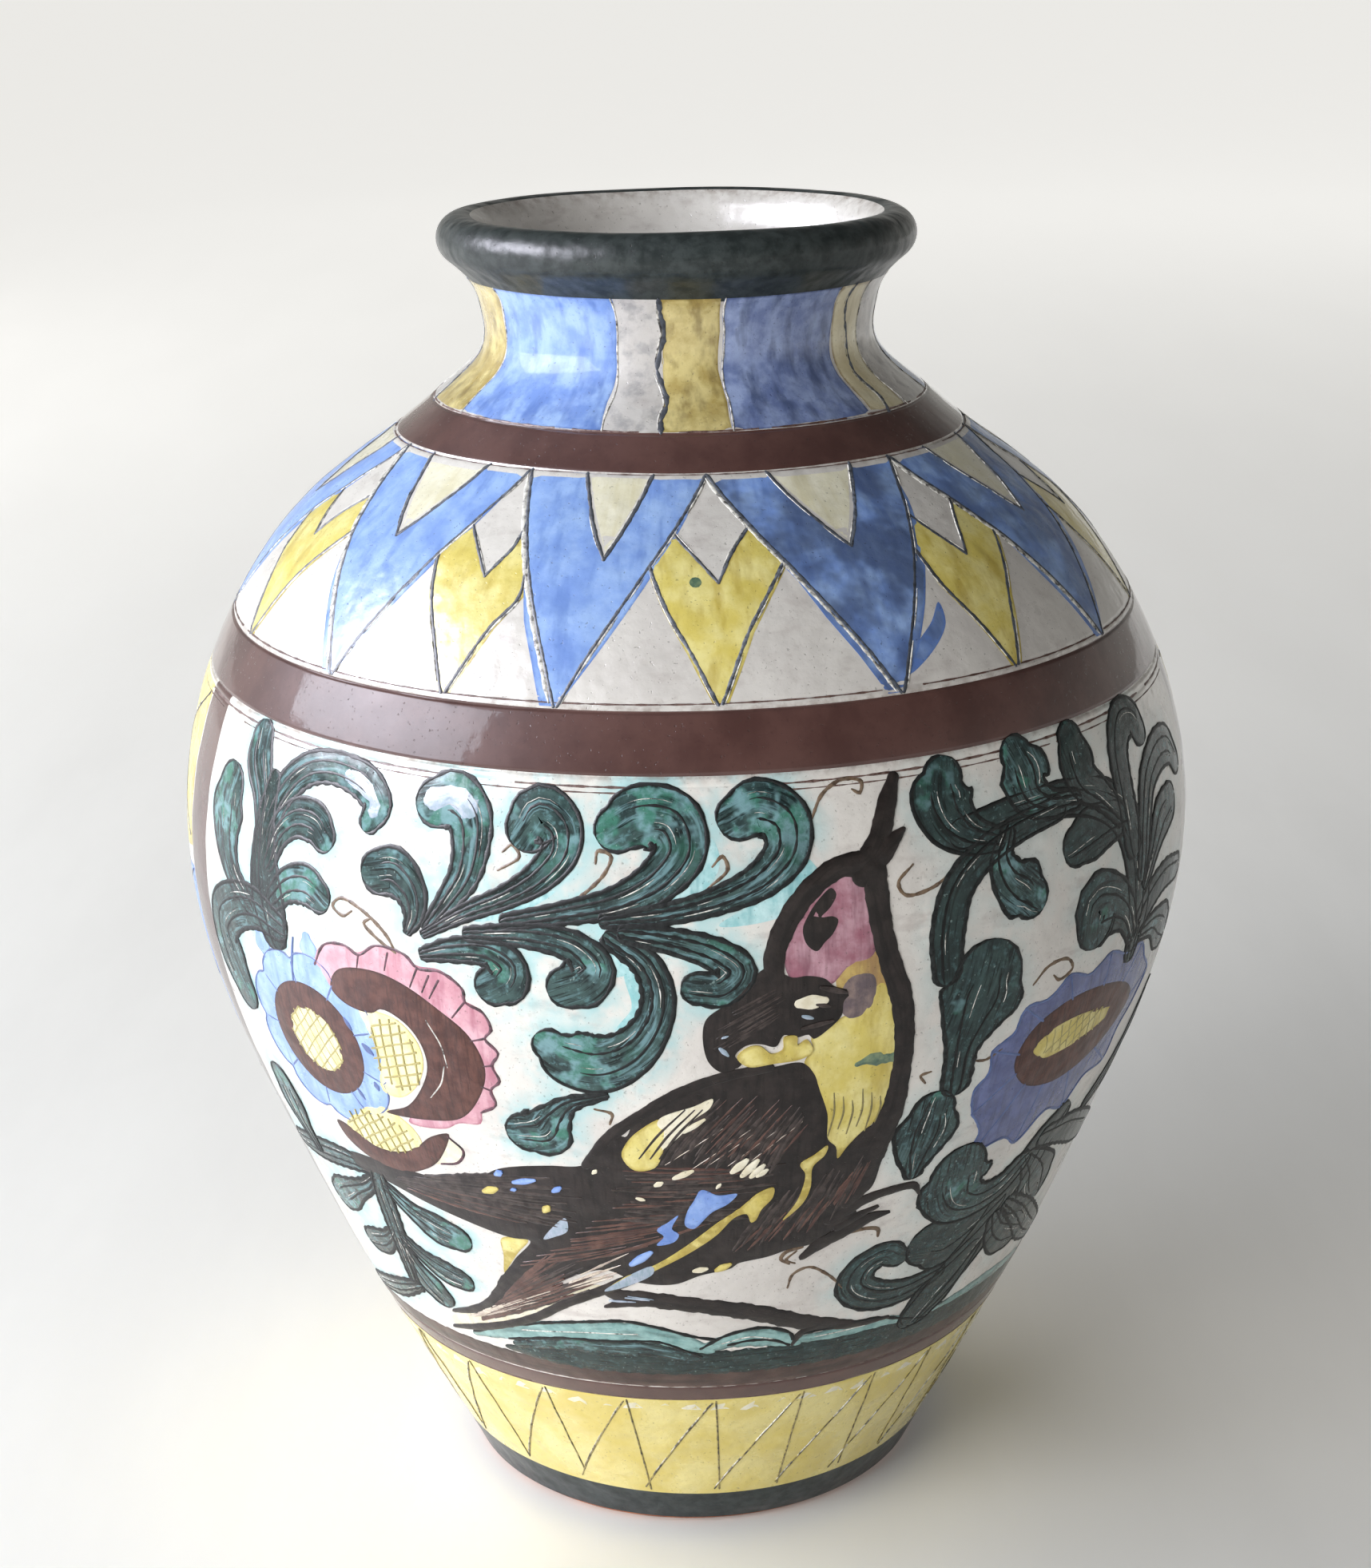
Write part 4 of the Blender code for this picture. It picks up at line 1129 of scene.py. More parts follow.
    # tail: two long dark feathers with pale ones between them
    fill("cream", [(-41, 61.4), (-39, 65), (-33, 69), (-28, 75), (-24, 82), (-18, 84), (-12, 86),
        (-14, 82.4), (-20, 76), (-27, 69.4), (-34, 64.2)], lift=0.08, rise=0.05)
    stroke("black", [(-40.4, 60.3, 0.5), (-34, 64.0, 1.0), (-28, 68.2, 1.0), (-22.6, 73.0, 1.1),
        (-18, 78.6, 1.1), (-13, 83.6, 1.2), (-8, 88.6, 1.4)], **black)
    stroke("black", [(-38.6, 66.4, 0.5), (-34, 69.6, 1.0), (-30.4, 73.4, 1.2), (-27.2, 78.2, 2.0),
        (-24, 84, 3.0), (-19, 90, 4.0), (-13, 95, 4.0)], **black)
    for colour, *row in TAIL_FEATHERS:
        feathers(easel, colour, *row, **(dark if colour == "soot" else light))
    fill("yellow", [(-25.6, 85.6), (-24.4, 88.4), (-22.6, 92.8), (-20.7, 97.2), (-24.4, 96.4), (-24.9, 91)],
        tone=0.9, lift=0.12, rise=0.05, step=0.7)
    # claws and the branch under them
    stroke("black", [(17, 103.6, 2.2), (20.6, 107.2, 1.4), (24, 108.5, 1.1), (27.2, 108.2, 0.9),
        (28.2, 105.6, 0.4)], **black)
    stroke("black", [(13.9, 93, 0.8), (16, 96.4, 1.7), (19.4, 99.4, 1.6), (22, 101.6, 1.4),
        (24.4, 102, 0.5)], **black)
    stroke("black", [(18, 100.6, 1.2), (20.4, 103, 1.0), (22.6, 104.4, 0.5)], **black)
    stroke("tendril", [(19.9, 98.2, 0.4), (22, 98.4, 0.5), (23.6, 97.4, 0.5), (23.9, 95.2, 0.3)], lift=0.1)
    stroke("tendril", [(13.6, 96, 0.4), (11.6, 95, 0.5), (11.1, 93, 0.4), (12.2, 91.4, 0.3)], lift=0.1)
    stroke("black", [(-12, 84.2, 0.6), (-10.4, 83.6, 1.6), (-6, 82.6, 2.3), (1, 80.5, 2.2),
        (8.5, 77.2, 2.4), (15, 72.6, 2.2), (20.4, 69.6, 1.8), (25, 67.6, 1.0), (30, 67, 0.5)], **branch)
    stroke("black", [(-11.8, 79.6, 0.5), (-9.4, 81, 1.2), (-6, 82, 1.6)], **branch)
    stroke("black", [(14.6, 65.4, 0.5), (15.6, 68.6, 0.9), (18, 70.4, 1.2)], **branch)
    feathers(easel, "bloom", ((-12, 81), (-9, 84.6)), ((-8, 81.6), (-4, 83)), 3, half=0.3, **light)
    # feathers picked out on the wing and body
    fill("yellow", [(-7.5, 123.8), (-7, 126.8), (-5.2, 130.8), (-3, 133.4), (-1.4, 131.6), (-2.6, 127.6),
        (-4, 121), (-6.2, 120.2)], tone=0.9, **over)
    fill("cream", [(-4.6, 123), (-3, 127.6), (-3.4, 133), (0.4, 136.4), (2.3, 138), (2, 136), (0.2, 133),
        (-1, 129.6), (-3, 125.8)], lift=0.48, rise=0.05, step=0.7)
    for a, b in ((-5.6, -0.6), (-4.4, 0.4), (-3.4, 1.2)):
        stroke("soot", [(a, 123.5, 0.16), ((a + b) / 2 - 0.3, 129.6, 0.28), (b, 135.6, 0.14)], lift=0.53,
            rise=0.04)
    dabs("cream", (-0.7, 130.2, 1.4, 133.2, 0.6), (-1.9, 118.2, 0.1, 120.2, 0.75),
        (-4, 116.2, -3.3, 117, 0.7), (-10.9, 118.8, -10.5, 119.6, 0.5), (2.8, 115.4, 3.2, 116.4, 0.4),
        (0.2, 91.6, 1.7, 92.2, 0.8), (-6.2, 112.6, -5.4, 112.2, 0.5), tone=0.9, **over)
    dabs("cream", (4.5, 119.6, 6, 122.5, 0.95), (5.6, 118.4, 7.2, 122.3, 0.9), (6.6, 118, 7.9, 120.9, 0.8),
        (7.3, 118.1, 8.3, 119.6, 0.7), tone=1.0, **over)
    fill("blue", [(1.1, 115), (3, 113.4), (5.1, 113.6), (4.1, 111), (2.3, 108.8), (0.1, 104.1), (-0.8, 105),
        (-0.6, 108.8), (0.3, 112.4)], tone=0.8, step=0.7, **over)
    fill("blue", [(-1.6, 108), (-2.4, 104), (-1.6, 102.6), (-2.2, 100.4), (-4.3, 99.4), (-3.4, 102),
        (-4.2, 103.6), (-2.8, 106)], tone=0.3, step=0.7, **over)
    dabs("blue", (-20.6, 113.8, -18, 115.2, 0.8), (-22.7, 115.2, -22, 115.9, 0.8),
        (-15.9, 112.8, -15, 114, 0.7), (-21.1, 111.6, -20.6, 111.9, 0.5), (-7.6, 93.4, -5.1, 97.2, 1.0),
        **over)
    fill("bloom", [(-15.1, 105.4), (-15.1, 101.8), (-16.8, 99.8), (-18.4, 98.6), (-17.2, 101.8)], lift=0.40,
        rise=0.04, step=0.7)
    dabs("yellow", (-24.8, 109.8, -23.1, 111.2, 1.0), (-17.5, 106.8, -16.9, 108.3, 0.9),
        (3, 91.6, 4.6, 93.2, 0.9), tone=0.6, **over)
    fill("yellow", [(9.2, 114.6), (7.5, 113.4), (6.5, 111.6), (5.6, 109.8), (3.2, 106), (-0.6, 99.4),
        (-4.4, 93.8), (-8.7, 89.4), (-11.4, 85.2), (-8.4, 87.4), (-4.9, 91.6), (-1, 96.3), (2.8, 102),
        (5.1, 107.2), (6.3, 107.8), (6.9, 105.2), (7.4, 105.7), (8, 108.8), (9.2, 112)], tone=0.6, step=0.7,
        **over)
    fill("bloom", [(-5, 93), (-8.7, 89.3), (-11.6, 84.9), (-8.2, 87.2), (-5, 91)], lift=0.50, rise=0.03,
        step=0.7)
    fill("yellow", [(14.9, 124.2), (14.7, 122), (13.5, 119.3), (13.5, 113.6), (12.8, 109.4), (10.7, 105.1),
        (12, 109.9), (12.6, 113.7), (12.7, 117.4), (12, 120.2), (13.5, 122.3)], tone=0.6, step=0.7, **over)
    # feather lines on the breast, and its green fleck
    for i in range(6):
        x = 14.8 + 1.05 * i
        stroke("olive", [(x, 126.5 + 1.5 * (i % 2), 0.14), (x + 0.4, 132, 0.22),
            (x + 0.2, 137 - 1.2 * (i % 3), 0.10)], lift=0.20, rise=0.03, tone=0.2)
    stroke("fleck", [(17.2, 143.0, 0.5), (18.6, 143.8, 1.2), (20, 143.4, 1.3), (21.2, 143.4, 0.9)],
        lift=0.19, rise=0.03, tone=0.0, wobble=0.3)


def ground(easel):
    """The turquoise and dark strokes of grass and water that the scene stands on."""
    stroke = easel.stroke
    looks = dict(lift=0.07, rise=0.06, wobble=0.10)
    stroke("mud", [(-66, 54.6, 1.8), (-40, 55.6, 2.4), (-20, 55.6, 2.6), (0, 55.4, 2.6), (30, 55.2, 2.6),
        (72, 54.8, 2.0)], lift=0.06, rise=0.05, wobble=0.1)
    stroke("leaf", [(-30, 59.4, 0.8), (-20, 60.4, 3.2), (-5, 61.2, 3.8), (12, 61.6, 4.0), (32, 61, 4.2),
        (52, 59.6, 3.6), (75, 58.5, 2.4)], tone=0.05, lift=0.09, rise=0.06, wobble=0.12)
    stroke("ground", [(-36, 60.6, 0.8), (-30, 64.2, 2.0), (-23, 68, 3.0), (-15, 70.6, 3.4), (-9, 71.6, 3.2),
        (-3, 69.4, 2.8), (2, 66, 1.6)], tone=1.0, **looks)
    stroke("leaf", [(-28, 61.6, 1.0), (-20, 65, 2.0), (-13, 66, 2.4), (-6, 66, 2.4), (0, 63.4, 1.4)],
        tone=0.7, lift=0.12, rise=0.06, wobble=0.15)
    stroke("ground", [(2, 66.8, 1.6), (6, 69, 2.6), (10.5, 68.6, 2.8), (14.6, 66, 2.0)], tone=0.85, **looks)
    stroke("ground", [(16, 66.4, 1.2), (22, 66, 2.2), (29, 65.6, 2.0), (35, 63.2, 1.0)], tone=0.8, **looks)
    stroke("ground", [(40, 63, 1.2), (52, 64, 2.0), (64, 62.6, 1.4)], tone=0.5, **looks)
    for top in (((-36, 61.4), (-29, 66.8), (-22, 71.2), (-14, 74.2), (-9.6, 75.2), (-5, 73.6), (0, 70.6),
            (3, 69.4)), ((-29, 62.8), (-20, 67), (-12, 68.2), (-5, 68.8), (-1.6, 66.2), (1, 64)),
            ((1, 66.6), (4.6, 70.6), (9.6, 72.2), (13.8, 69.4), (14.6, 67)), ((5, 67.4), (8, 68.4),
            (11.6, 67.6), (14, 65.4)), ((16, 68.4), (21, 68.6), (28, 67.8), (33.4, 64.6), (38, 62))):
        stroke("leaf_line", [(*p, 0.40) for p in top], lift=0.17, rise=0.07, tone=0.3, wobble=0.4)
    # pale burr strokes beside the dark lines: partly a painted highlight along them
    for low in (((-26, 67.2), (-16, 70.2), (-8, 71.2)), ((4, 68), (8, 69.6), (11.6, 68)),
            ((18, 66.6), (26, 66.6))):
        stroke("burr", [(*p, 0.15) for p in low], lift=0.17, rise=0.03, tone=0.7, wobble=0.4)


# ---------------------------------------------------------------- shoulder, neck, foot zone and side strips
# the angles of the V's lower points, and of the places where each V meets the next
VEES = (-84, -45.2, -14.5, 24.7, 60.5, 97, 131, 168, 203, 238)
MEETINGS = (-66, -28.4, 4.6, 42.6, 79.5, 114, 150, 186, 221, 257)
LOW, HIGH = 213.9, 265.3  # where the shoulder's pattern begins and ends
ARM_FOOT, ARM_RISE, ARM_BEND = 214.0, 51.5, 1.12
# the neck's patches: first angle, last angle and colour
NECK_COLOURS = ((-96, -82, "white"), (-82, -58.5, "yellow"), (-58.5, -17.3, "blue"), (-17.3, -4.2, "white"),
    (-4.2, 11.2, "yellow"), (11.8, 48, "deep"), (48.6, 62.5, "ochre"), (62.5, 82, "white"),
    (82, 118, "blue"), (118, 137, "yellow"), (137, 152, "white"), (152, 196, "deep"), (196, 212, "yellow"),
    (212, 228, "white"), (228, 264, "blue"))
NECK_LOW, NECK_HIGH = 275.9, 305.6  # where the neck's patches begin and end
# the lines at the bands' edges: height and half width in mm
EDGE_LINES = ((48.3, 0.16), (53.2, 0.18), (198.4, 0.12), (199.6, 0.20), (214.6, 0.16), (265.2, 0.16),
    (276.0, 0.18))
# the angles at which the foot zone's zigzag touches the brown band
ZIGZAG = [-42, -26, -11.5, 3.5, 18.5, 32, 45] + [60 + 14.3 * i for i in range(18)]


def cut_line(cuts, burrs, points, half=0.42, side=1.0, burr=0.26, broken=True, wobble=0.30):
    """A line scratched through the glaze, with the pale burr on one side of it, whole or in pieces; the
    burr is partly a painted highlight along the line.
    """
    body = cuts.stroke([(*p, half) for p in points], step=0.8, wobble=wobble, lift=0.10, rise=0.07,
        tone=rng.random() * 0.5)
    if not burr:
        return
    pale = body.copy()
    k, nx, ny = square_to(body)
    pale[:, 0] += side * (half + burr * 0.8) * nx / k
    pale[:, 1] += side * (half + burr * 0.8) * ny
    n = len(pale)
    i = rng.randint(2, 6)
    while i < n - 5:
        run = rng.randint(6, 22) if broken else n
        part = pale[i : min(i + run, n - 3)].copy()
        if len(part) > 3:
            part[:, 2] = burr * rng.uniform(0.7, 1.2)
            part = wobbly(tapered(part, 0.25, 4), 0.3)
            burrs.ribbon(part, lift=0.11, rise=0.07, tone=rng.random())
        i += run + rng.randint(1, 8)


def arm(apex, meeting, height):
    """The angle, at a height, of the line from a V's apex to the point where it meets the next V."""
    t = np.clip((height - ARM_FOOT) / ARM_RISE, 0, 1)
    return apex + (meeting - apex) * t**ARM_BEND


def notch_side(corner, top):
    """One side of the notch inside a V, from its corner up to the angle where it reaches the neck band."""
    (a, s), rise = corner, HIGH - corner[1]
    return [(a + (top - a) * t**0.92, s + rise * t) for t in (0, 0.35, 0.7, 1)]


def shoulder_pattern():
    """Ten blue V's round the shoulder and a notched yellow diamond between each two, all outlined."""
    blue, yellow, cream, cuts, burrs, dot = Paint(), Paint(), Paint(), Paint(), Paint(), Paint()
    rows = np.array([LOW, 222, 230, 238, 246, 254, 260, HIGH])
    for i, (apex, right) in enumerate(zip(VEES, MEETINGS)):
        left = MEETINGS[i - 1] if i else MEETINGS[-1] - 360
        left_top, right_top = left + 11.2, right - 9.6
        inner = ((left_top + right_top) / 2 + 0.2, 244.2 + 1.3 * math.sin(3 * i))
        tone = (0.5, 0.9, 0.6, 0.05, 0.12, 0.5, 0.8, 0.3, 0.6, 0.9)[i]
        spill = 1.5 + 0.5 * math.sin(5 * i)
        left_line = [(arm(apex, left, s), s) for s in rows]
        right_line = [(arm(apex + 0.4, right, s), s) for s in rows]
        inner_left, inner_right = notch_side(inner, left_top), notch_side(inner, right_top)
        outer_right = [(a + spill * math.sin(math.pi * min(1, (s - LOW) / 46)) ** 0.6, s)
            for a, s in right_line]
        outer_left = [(a - 0.9 * (s < 250) - 0.7 * (s < 235), s) for a, s in left_line]
        blue.fill(outer_right + inner_right[::-1] + inner_left[1:] + outer_left[::-1], soft=False,
            lift=0.06, rise=0.05, tone=tone)
        cream.fill([(left_top + 0.6, HIGH), (inner[0], inner[1] + 2.0), (right_top - 0.6, HIGH)],
            soft=False, lift=0.03, rise=0.02, tone=0.5)
        cut_line(cuts, burrs, left_line[::-1], 0.34, -1, 0.46, broken=False)
        cut_line(cuts, burrs, right_line[::-1], 0.32, 1, 0.20)
        cut_line(cuts, burrs, inner_left, 0.34, 1, 0.12)
        cut_line(cuts, burrs, inner_right, 0.34, 1, 0.12)
        # the yellow diamond between this V and the next
        onward = VEES[i + 1] if i + 1 < len(VEES) else VEES[0] + 360
        foot = right + (-0.5, 0.4, -0.6, -1.0)[i % 4]
        notch = (foot + 0.7, 238.6)
        up_left = [(foot - 0.3, LOW + 0.6), (foot - 3.0, 224), (foot - 6.0, 233),
            (arm(apex + 0.4, right, 242.5), 242.5)]
        up_right = [(foot + 0.2, LOW + 0.8), (foot + 3.8, 228), (foot + 6.6, 235),
            (arm(onward, right, 243), 243)]
        dip_left = [(arm(apex + 0.4, right, 250.5), 250.5), (foot - 1.7, 243.5), notch]
        dip_right = [notch, (foot + 3.3, 246), (arm(onward, right, 252), 252)]
        spread_left = [(a - 0.5, s) for a, s in up_left]
        spread_right = [(a + 0.7, s) for a, s in up_right[::-1]]
        yellow.fill(spread_left + dip_left + dip_right[1:] + spread_right, soft=False, lift=0.05,
            rise=0.04, tone=tone)
        for line, half, side, burr in ((up_left, 0.34, 1, 0.14), (up_right, 0.34, -1, 0.18),
                (dip_left, 0.30, 1, 0.12), (dip_right, 0.30, 1, 0.12)):
            cut_line(cuts, burrs, line, half, side, burr)
    blue.fill([(33.6, 230), (31.5, 226.4), (28.4, 222.4), (26.2, 217), (30, 220.4), (33.4, 225.6)],
        lift=0.05, rise=0.04, tone=0.1)
    dot.fill([spot((1.7, 238.8), 1.15, t) for t in range(0, 360, 60)], lift=0.14, rise=0.08, tone=0.0)
    pieces = (
        ("blue", blue, "blue", "white_glaze"), ("yellow", yellow, "yellow", "yellow_glaze"),
        ("cream", cream, "cream_wash", "white_glaze"), ("cut_lines", cuts, "soft_cut", "brown_slip"),
        ("burrs", burrs, "burr", "white_glaze"), ("green_dot", dot, "fleck", "green_glaze"),
    )
    for name, paint, look, slot in pieces:
        paint.piece("shoulder_" + name, MATERIALS[look], slot)


def neck_pattern():
    """Patches of colour side by side round the neck, some parted by a wavy scratched line."""
    paints = {key: Paint() for key in ("yellow", "blue", "deep", "ochre", "grey")}
    cuts, burrs = Paint(), Paint()
    for i, (first, last, key) in enumerate(NECK_COLOURS):
        heights = np.linspace(NECK_LOW, NECK_HIGH, 9)
        wave = [(0.35 * math.sin(1.7 * j + i) + 0.3 * math.sin(0.6 * j + 2 * i), s)
            for j, s in enumerate(heights)]
        sides = [(last + w, s) for w, s in wave] + [(first + w, s) for w, s in wave[::-1]]
        paints["grey" if key == "white" else key].fill(sides, soft=False, lift=0.05, rise=0.06,
            tone=0.5 + 0.5 * math.sin(i))
        if key in ("yellow", "ochre"):
            inside = first if key == "yellow" else first + 0.45 * (last - first)
            cut_line(cuts, burrs, [(inside + 3.0 * w, s) for w, s in wave], 0.46, 1, 0.20, wobble=0.55)
        else:
            # a thin pale line at the patch's edge: partly a painted highlight
            burrs.stroke([(first + w + 0.3, s, 0.16) for w, s in wave], lift=0.13, rise=0.05, tone=0.4,
                wobble=0.5)
    for key, paint in paints.items():
        look = {"yellow": "neck_yellow", "blue": "neck_blue"}.get(key, key)
        paint.piece("neck_" + key, MATERIALS[look],
            "yellow_glaze" if key in ("yellow", "ochre") else "white_glaze")
    cuts.piece("neck_cut_lines", MATERIALS["soft_cut"], "brown_slip")
    burrs.piece("neck_burrs", MATERIALS["burr"], "white_glaze")


def foot_zone_pattern():
    """The scratched zigzag in the yellow zone, and the cream strip left bare under the brown band."""
    cuts, burrs, cream = Paint(), Paint(), Paint()
    for a in ZIGZAG:
        lean, end = rng.uniform(-0.8, 1.6), rng.uniform(12.2, 17)
        cut_line(cuts, burrs, [(a, 47.2), (a + lean / 2, 30), (a + lean, end)], 0.20, 1, 0, wobble=0.15)
        cut_line(cuts, burrs, [(a - 0.6, 46.6), (a - 7.5, 29.5), (a - 14.5, 13.4)], 0.18, -1, 0.10,
            wobble=0.15)
    span = np.linspace(-180, 180, 73)
    for i, (a, b) in enumerate(zip(span[:-1], span[1:])):
        low = [44.2 + 0.9 * math.sin(1.3 * j) + 0.6 * math.sin(3.1 * j) for j in (i, (i + 1) % 72)]
        cream.fill([(a - 0.03, low[0]), (b + 0.03, low[1]), (b + 0.03, 47.75), (a - 0.03, 47.75)],
            soft=False, lift=0.03, rise=0.0, tone=0.5, grid=4)
    cuts.piece("foot_zone_cut_lines", MATERIALS["faint_cut"], "brown_slip")
    burrs.piece("foot_zone_burrs", MATERIALS["burr"], "white_glaze")
    cream.piece("foot_zone_cream_strip", MATERIALS["cream_wash"], "white_glaze")


def band_edges():
    """The thin dark lines left where the bands' edges were turned, broken here and there."""
    lines = Paint()
    for height, half in EDGE_LINES:
        angle = -180.0
        while angle < 176:
            end = min(angle + rng.uniform(14, 70), 180.0)
            around = np.linspace(angle, end, max(3, int((end - angle) / 6)))
            lines.stroke([(a, height + 0.15 * math.sin(a / 23 + height), half) for a in around],
                step=1.4, wobble=0.6, lift=0.05, rise=0.03, tone=rng.random() * 0.6)
            angle = end + rng.uniform(0.5, 9)
    lines.piece("band_edge_lines", MATERIALS["edge_line"], "brown_slip")


def strip_pattern(name, first, last):
    """A side strip: yellow above, blue below, a few loose strokes where they meet."""
    yellow, blue, cuts, burrs = Paint(), Paint(), Paint(), Paint()
    a, b = first + 0.5, last - 0.5
    mid = (a + b) / 2
    yellow.fill([(a, 166), (a + 6, 163.5), (mid, 165.5), (b - 5, 162.5), (b, 165), (b, 201), (a, 201)],
        soft=False, lift=0.05, rise=0.05, tone=0.4)
    blue.fill([(a, 108), (a + 5, 110), (mid, 107.5), (b - 6, 110.5), (b, 108.5), (b, 160.5), (b - 6, 158.5),
        (mid, 161), (a + 5, 159), (a, 161.5)], soft=False, lift=0.05, rise=0.05, tone=0.6)
    yellow.fill([(a, 54), (b, 54), (b, 104), (b - 5, 105.8), (mid, 103), (a + 6, 106), (a, 103.5)],
        soft=False, lift=0.05, rise=0.05, tone=0.7)
    for low, high in ((57, 80), (80, 103), (111, 135), (135, 159), (167, 198)):
        for side in (a + 1, b - 1):
            cut_line(cuts, burrs, [(side, low), (mid, (low + high) / 2), (side, high)], 0.34, 1, 0.2)
    yellow.piece(name + "_yellow", MATERIALS["yellow"], "yellow_glaze")
    blue.piece(name + "_blue", MATERIALS["blue"], "white_glaze")
    cuts.piece(name + "_cut_lines", MATERIALS["cut"], "brown_slip")
    burrs.piece(name + "_burrs", MATERIALS["burr"], "white_glaze")


# ---------------------------------------------------------------- the vase put together
PAST_THE_TOP = 24  # degrees round the lip's roll, to where its dark coat ends
HALF_GAP = 0.1675  # degrees, half the gap between two CAD panels
CLAY_DEPTH, CLAY_FACE, CLAY_BACK = 1.2, -0.66, -6.3  # mm off the skin
FOOT_INSIDE = 40.0
HEIGHTS = {name: skin_span(name, 0.3) for name in OUTSIDE}
TOP_OF_LIP = float(SKIN.s[SKIN.z.argmax()]) / MM
COLOUR_ENDS = TOP_OF_LIP + LIP_ROLL / MM * math.radians(PAST_THE_TOP)
INSIDE_END = float(SKIN.s[-1]) / MM


def seam(below, above):
    """Where one coat ends and the next begins: the middle of the gap between two neighbours."""
    return (HEIGHTS[below][1] + HEIGHTS[above][0]) / 2


SEAMS = [seam(a, b) for a, b in zip(OUTSIDE[:-1], OUTSIDE[1:])]

